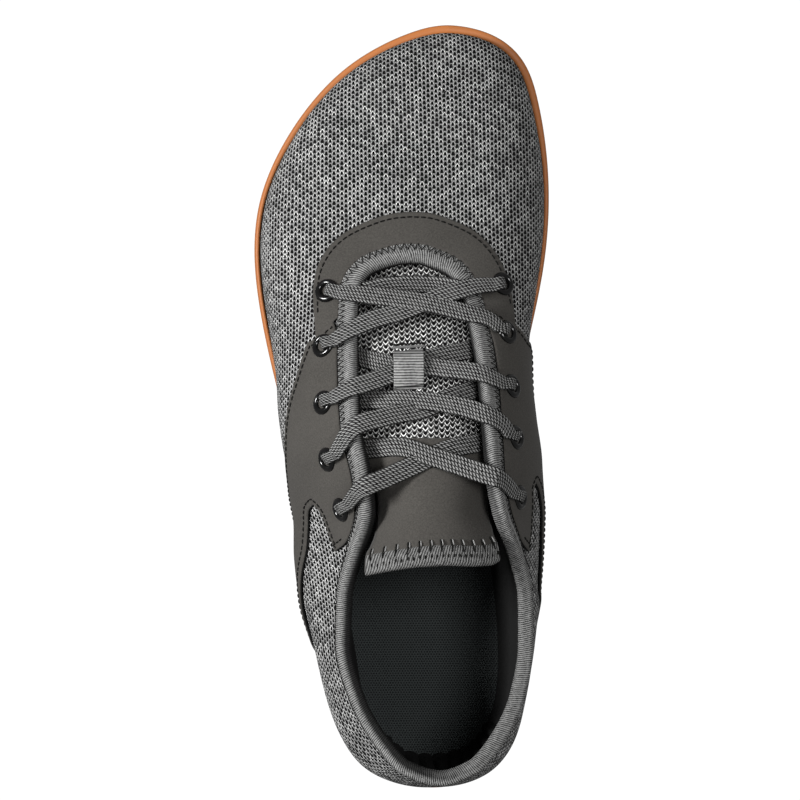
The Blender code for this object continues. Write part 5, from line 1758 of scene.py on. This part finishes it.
def tongue_sheet(name, material, start, stop, top, rows, replaced=()):
    """A padded strip of the tongue between two shares of LENGTH; the start may be a curve across it."""
    turns = np.linspace(-1, 1, 45)
    across = np.concatenate([turns, turns[::-1]])
    edge = np.sqrt(np.maximum(1 - np.abs(across) ** 8, 0))
    side = np.concatenate([np.ones(45), -np.ones(45)])
    steps = np.linspace(0, 1, rows)
    fall = np.ones(rows)
    fall[:3] = (0.0, 0.7, 0.95)
    fall[-3:] = (0.95, 0.7, 0.0)
    pitch = steps[1]
    steps[1:3] = (pitch * 0.12, pitch * 0.5)
    steps[-3:-1] = (1 - pitch * 0.5, 1 - pitch * 0.12)
    first = np.broadcast_to(start(across) if callable(start) else start, across.shape)
    along = first[None] + (stop - first)[None] * steps[:, None]
    middle = top - TONGUE_THICK / 2
    lift = middle + side[None] * edge[None] * fall[:, None] * TONGUE_THICK / 2
    grid = tongue_face(along, np.broadcast_to(across * 0.995, along.shape), lift)
    uvs = np.stack([grid[..., 0] * 10, along * LENGTH * 10], -1)
    shape = Shape()
    shape.capped(grid, np.concatenate([uvs, uvs[:, :1]], 1))
    shape.piece(name, (material,), replaced)


def build_tongue():
    tongue_sheet("tongue_knit", TONGUE_KNIT, 0.452, 0.735, 0.0, 80, ("tongue",))
    tongue_sheet("tongue_suede", SUEDE, under_band, SUEDE_FRONT, 0.0007, 50)
    across = np.linspace(-0.985, 0.985, 700)
    ribs = np.sin(across * 340.0) * 0.00009
    rows = []
    for along, lift in BAND_PROFILE:
        rows.append(tongue_face(tongue_end(across) + along, across, lift + ribs * (lift > -0.001)))
    grid = np.stack(rows, 1)
    shape = Shape()
    shape.grid(grid, runs(across * 0.2, np.arange(len(BAND_PROFILE)) * 0.016))
    shape.face(grid[0])
    shape.face(grid[-1][::-1])
    shape.piece("tongue_band", (BAND,))
    whips = Shape()
    pale = Shape()
    for k in range(WHIPS):
        place = 0.93 * (2 * k / (WHIPS - 1) - 1)
        end = float(tongue_end(place))
        edge = end + BAND_WIDE
        spots = ((end + BAND_WIDE * 0.66, 0.0021), (edge + 0.0005, 0.0017), (edge + 0.0070, 0.0010))
        line = np.array([tongue_face(a, place - s * 0.016, l) for s, (a, l) in enumerate(spots)])
        tube(whips, evenly(line, 0.0005), 0.00026, 6)
        line[:, 0] += 0.0006
        tube(pale, evenly(line[1:], 0.0004), 0.00022, 6)
        spots = ((end + BAND_WIDE * 0.36, 0.0021), (end + BAND_WIDE * 0.56, 0.0021))
        for shift in (0.03, 0.11):
            line = np.array([tongue_face(a, min(place + shift, 0.97), l) for a, l in spots])
            tube(whips, evenly(line, 0.0005), 0.00032, 6)
    whips.piece("tongue_band_stitches", (THREAD,))
    pale.piece("tongue_band_loops", (PALE_THREAD,))


# Lace: one flat braid, drawn as the stretches that show; their ends narrow into the eyelets
ENTRY_LEAD = 16
ENTRY_WIDTHS = (LACE_WIDTH, 0.0054, 0.0040, 0.0034)
RIBBON_TURNS = np.linspace(0, 2 * math.pi, 14, endpoint=False)
ENTRY_SHIFT = 0.0010
# A stretch rises over another one from this far off, and is level again this much nearer
CROSSING_REACH = 0.0062
CROSSING_RISE = 0.0030
LACE_TILT = 0.0022
UNDER_REACH = 0.0045
UNDER_DROP = 0.0017


def smoothed(values, rounds):
    values = np.array(values, float)
    for _ in range(rounds):
        values[1:-1] = (values[:-2] + 2 * values[1:-1] + values[2:]) / 4
    return values


def eyelet_of(side, number):
    spots = EYELETS_OUTER if side == "outer" else EYELETS_INNER
    return eyelet_frame(side, *spots[number - 1])


def lace_line(shares, below=()):
    """Centre and side direction of a stretch of lace pulled over what it crosses."""
    plan = path_through([plan_of(share) for share in shares], 90)
    along = unit(np.gradient(plan, axis=0))
    side = np.column_stack([-along[:, 1], along[:, 0]])
    walk = lengths_along(plan)
    half = LACE_WIDTH / 2
    raised = np.zeros(len(plan))
    for other in below:
        near = np.min(np.linalg.norm(plan[:, None] - other[None, :, :2], axis=2), axis=1)
        share = np.clip((CROSSING_REACH - near) / CROSSING_RISE, 0, 1)
        raised = np.maximum(raised, share * (LACE_THICK + 0.0002))
    middle = taut(walk, lace_support(plan) + raised)
    left = taut(walk, lace_support(plan + side * half) + raised)
    right = taut(walk, lace_support(plan - side * half) + raised)
    lift = np.maximum(middle, (left + right) / 2) + LACE_CLEAR * 0.5 + LACE_THICK / 2
    lift = np.maximum(smoothed(lift, 20), lift - 0.0003)
    tilt = smoothed(np.clip((left - right) / 2, -LACE_TILT, LACE_TILT), 12)
    return np.column_stack([plan, lift]), unit(np.column_stack([side * half, tilt]))


def into_eyelet(centre, sides, side, number, at_start):
    """Bends the end of a stretch down into its eyelet."""
    base, _, _, normal = eyelet_of(side, number)
    lift = OVERLAY_LIFT + OVERLAY_THICK
    if at_start:
        centre, sides = centre[::-1], sides[::-1]
    over = base + normal * (lift + 0.0016)
    gap = np.linalg.norm(centre[:, :2] - over[:2], axis=1)
    heading = unit(over - centre[int(np.argmin(np.abs(gap - 0.006)))])
    base = base - heading * ENTRY_SHIFT
    over = over - heading * ENTRY_SHIFT
    gap = np.linalg.norm(centre[:, :2] - over[:2], axis=1)
    keep = int(np.argmin(gap))
    while keep > 10 and gap[keep] < 0.0034:
        keep -= 1
    rise = centre[keep] + (over - centre[keep]) * 0.55 + normal * 0.0007
    down = base + normal * (lift - 0.0004)
    low = base - normal * 0.0024
    bend = over * 0.5 + down * 0.5 + (over - centre[keep]) * 0.08
    tail = path_through([centre[keep], rise, bend, down, low], 22)[1:]
    heading = unit(over - centre[keep])
    across = unit(np.cross(normal, heading))
    if across @ sides[keep] < 0:
        across = -across
    blend = np.linspace(0, 1, len(tail))[:, None]
    turned = unit(sides[keep] * (1 - blend) + across * blend)
    centre = np.concatenate([centre[: keep + 1], tail])
    sides = np.concatenate([sides[: keep + 1], turned])
    widths = np.full(len(centre), LACE_WIDTH)
    count = len(tail) + ENTRY_LEAD
    knots = (0, ENTRY_LEAD, len(tail) * 0.6 + ENTRY_LEAD, count - 1)
    widths[-count:] = np.interp(np.arange(count), knots, ENTRY_WIDTHS)
    if at_start:
        return centre[::-1], sides[::-1], widths[::-1]
    return centre, sides, widths


def under_edge(centre, sides, widths):
    """Runs the start of a stretch on and down, below the binding."""
    heading = unit(centre[0] - centre[3])
    steps = np.linspace(UNDER_REACH, 0.0004, 7)
    lead = centre[0] + heading * steps[:, None]
    lead[:, 2] -= UNDER_DROP * (steps / UNDER_REACH) ** 1.5
    return (
        np.concatenate([lead, centre]),
        np.concatenate([np.repeat(sides[:1], 7, axis=0), sides]),
        np.concatenate([np.full(7, widths[0]), widths]),
    )


def ribbon(name, centre, sides, widths, replaced=()):
    along = unit(np.gradient(centre, axis=0))
    up = unit(np.cross(along, sides))
    if up[len(up) // 2][2] < 0:
        up = -up
    cos = np.cos(RIBBON_TURNS)
    sin = np.sin(RIBBON_TURNS)
    wide = np.sign(cos) * np.abs(cos) ** 0.45
    tall = np.sign(sin) * np.abs(sin) ** 0.8
    thick = LACE_THICK * np.interp(widths, [0.0034, LACE_WIDTH], [1.35, 1.0])
    across_part = sides[:, None] * (wide * widths[:, None] / 2)[..., None]
    grid = centre[:, None] + across_part + up[:, None] * (tall * thick[:, None] / 2)[..., None]
    shape = Shape()
    shape.capped(grid, runs(lengths_along(centre) * 10, np.append(wide, wide[0]) * LACE_WIDTH / 2 * 10))
    shape.piece(name, (BRAID,), replaced)


def threaded(centre, sides, row, side, start_side):
    """A stretch of lace that ends in its eyelet; its start lies under the edge or, in front, in an eyelet."""
    line = into_eyelet(centre, sides, side, row + 1, False)
    if row > 1:
        return under_edge(*line)
    rest = len(line[0]) // 2
    back = into_eyelet(line[0][:rest], line[1][:rest], start_side, 1, True)
    return tuple(np.concatenate([a, b[rest:]]) for a, b in zip(back, line))


def build_laces():
    keeper_line = []
    for row, (name, first, second) in enumerate(LACES, 1):
        low_line = lace_line(second)
        ribbon(name + "_under", *threaded(*low_line, row, "outer", "inner"), (name,))
        high_line = lace_line(first, below=(low_line[0],))
        ribbon(name + "_over", *threaded(*high_line, row, "inner", "outer"))
        if row == 2:
            keeper_line = np.concatenate([low_line[0], high_line[0]])
    centre, sides = lace_line(LACE_BAR)
    widths = np.full(len(centre), LACE_WIDTH)
    ribbon("lace_bar_braid", centre, sides, widths, ("lace_bar",))
    return keeper_line


KEEPER_RIB_DEPTH = 0.00032
KEEPER_SECTION = (
    # across as a share of half the width, and up as a share of half the thickness
    (-1.0, -0.5),
    (-1.0, 0.4),
    (-0.97, 0.9),
    (-0.9, 1.0),
    (-0.5, 1.0),
    (0.0, 1.0),
    (0.5, 1.0),
    (0.9, 1.0),
    (0.97, 0.9),
    (1.0, 0.4),
    (1.0, -0.5),
    (0.0, -0.5),
)


def build_keeper(tops):
    """Ribbed webbing over the lace, with the two threads that hold it to the tongue."""
    low_x = KEEPER_X[0] * BALL_WIDTH
    high_x = KEEPER_X[1] * BALL_WIDTH
    near = tops[(tops[:, 0] > low_x - 0.003) & (tops[:, 0] < high_x + 0.003)]
    ys = np.linspace(KEEPER_FRONT, KEEPER_BACK, 120)
    over = np.where(np.abs(near[None, :, 1] - ys[:, None]) < 0.0045, near[None, :, 2], 0)
    heights = np.max(over, axis=1) + LACE_THICK / 2 + 0.0004
    foot = tongue_face(ys / LENGTH + 0.5, np.zeros(len(ys)))[:, 2] + 0.0002
    rise = np.clip((KEEPER_FRONT - ys) / 0.0022, 0, 1)
    fall = np.clip((ys - KEEPER_BACK) / 0.0012, 0, 1)
    heights = np.maximum(smoothed(heights, 30), foot)
    heights = foot + (heights - foot) * np.sqrt(np.minimum(rise, 0.45 + 0.55 * fall))
    ribs = np.abs(np.sin(math.pi * (KEEPER_FIRST_RIB - ys) / KEEPER_RIB))
    ribs *= KEEPER_RIB_DEPTH * np.clip(rise * 2 - 1, 0, 1)
    section = np.array(KEEPER_SECTION)
    middle = (low_x + high_x) / 2
    half = (high_x - low_x) / 2
    grid = np.zeros((len(ys), len(section), 3))
    grid[..., 0] = middle + section[:, 0] * half
    grid[..., 1] = ys[:, None] + section[:, 0] * 0.0006
    grid[..., 2] = heights[:, None] + section[:, 1] * 0.0005 + ribs[:, None] * (section[:, 1] > 0)
    shape = Shape()
    shape.capped(grid)
    shape.piece("keeper", (WEBBING,), ("lace_keeper",))
    threads = Shape()
    for part, shift, radius in ((0, 0.0009, 0.0004), (1, 0.0019, 0.00026)):
        x = np.linspace(low_x - 0.0012, high_x + 0.0004, 24)
        y = KEEPER_FRONT + shift + 0.0006 * (x - low_x) / (high_x - low_x)
        across = (x / BALL_WIDTH - 0.02) / 0.23
        line = tongue_face(y / LENGTH + 0.5, across, 0.0005)
        tube(threads, line, radius, 8, part=part)
    threads.piece("keeper_seam", (WEBBING, THREAD))


# Camera, floor and light
# The camera stands at this distance, leans this far to the outer side, and one picture pixel spans this much
# at the ground. The floor is a plain white that lights nothing.
CAMERA_DISTANCE = 1.0
CAMERA_TILT = math.radians(2.5)
SENSOR = 36
PICTURE = 800
PIXEL = 0.3694e-3
AIM_Y = 7 * PIXEL
FLOOR_REACH = 3.0
FLOOR_GLOW = 1.05
WHITE = (1.0, 1.0, 1.0, 1.0)
LIGHT_TARGET = (0.0, 0.0, 0.03)


def add_light(name, place, size, power):
    data = bpy.data.lights.new(name, "AREA")
    data.shape = "DISK"
    data.size = size
    data.energy = power
    obj = bpy.data.objects.new(name, data)
    bpy.context.scene.collection.objects.link(obj)
    obj.location = place
    obj.rotation_euler = (Vector(LIGHT_TARGET) - obj.location).to_track_quat("-Z", "Y").to_euler()


def build_stage():
    scene = bpy.context.scene
    data = bpy.data.cameras.new("camera")
    data.sensor_width = SENSOR
    data.lens = SENSOR * CAMERA_DISTANCE / (PICTURE * PIXEL)
    camera = bpy.data.objects.new("camera", data)
    scene.collection.objects.link(camera)
    sideways = -math.sin(CAMERA_TILT) * CAMERA_DISTANCE
    camera.location = (sideways, AIM_Y, math.cos(CAMERA_TILT) * CAMERA_DISTANCE)
    camera.rotation_euler = (0, -CAMERA_TILT, 0)
    scene.camera = camera
    floor_mesh = bpy.data.meshes.new("floor")
    corners = [(x * FLOOR_REACH, y * FLOOR_REACH, 0) for x, y in ((-1, -1), (1, -1), (1, 1), (-1, 1))]
    floor_mesh.from_pydata(corners, [], [(0, 1, 2, 3)])
    floor = bpy.data.objects.new("floor", floor_mesh)
    scene.collection.objects.link(floor)
    white = bpy.data.materials.new("floor_white")
    white.use_nodes = True
    shader = white.node_tree.nodes["Principled BSDF"]
    shader.inputs["Base Color"].default_value = (0.0, 0.0, 0.0, 1.0)
    shader.inputs["Specular IOR Level"].default_value = 0.0
    shader.inputs["Emission Color"].default_value = WHITE
    shader.inputs["Emission Strength"].default_value = FLOOR_GLOW
    floor_mesh.materials.append(white)
    floor.visible_diffuse = False
    floor.visible_glossy = False
    world = bpy.data.worlds.new("studio")
    world.use_nodes = True
    world.node_tree.nodes["Background"].inputs[0].default_value = WHITE
    world.node_tree.nodes["Background"].inputs[1].default_value = 0.24
    scene.world = world
    add_light("key", (-0.92, 0.12, 0.80), 0.40, 24.0)
    add_light("top", (0.35, 0.10, 1.20), 0.45, 8.0)
    scene.view_settings.view_transform = "Standard"
    scene.view_settings.look = "None"


def main():
    build_stage()
    build_sole()
    build_upper()
    build_insole()
    build_lining()
    build_quarter("quarter_suede_outer", "quarter_overlay_outer", QUARTER_OUTER_SIDE, "outer", 0.325, 0.595)
    build_quarter("quarter_suede_inner", "quarter_overlay_inner", QUARTER_INNER_SIDE, "inner", 0.325, 0.61)
    build_front()
    build_binding()
    build_tongue()
    build_eyelets()
    build_keeper(build_laces())


main()
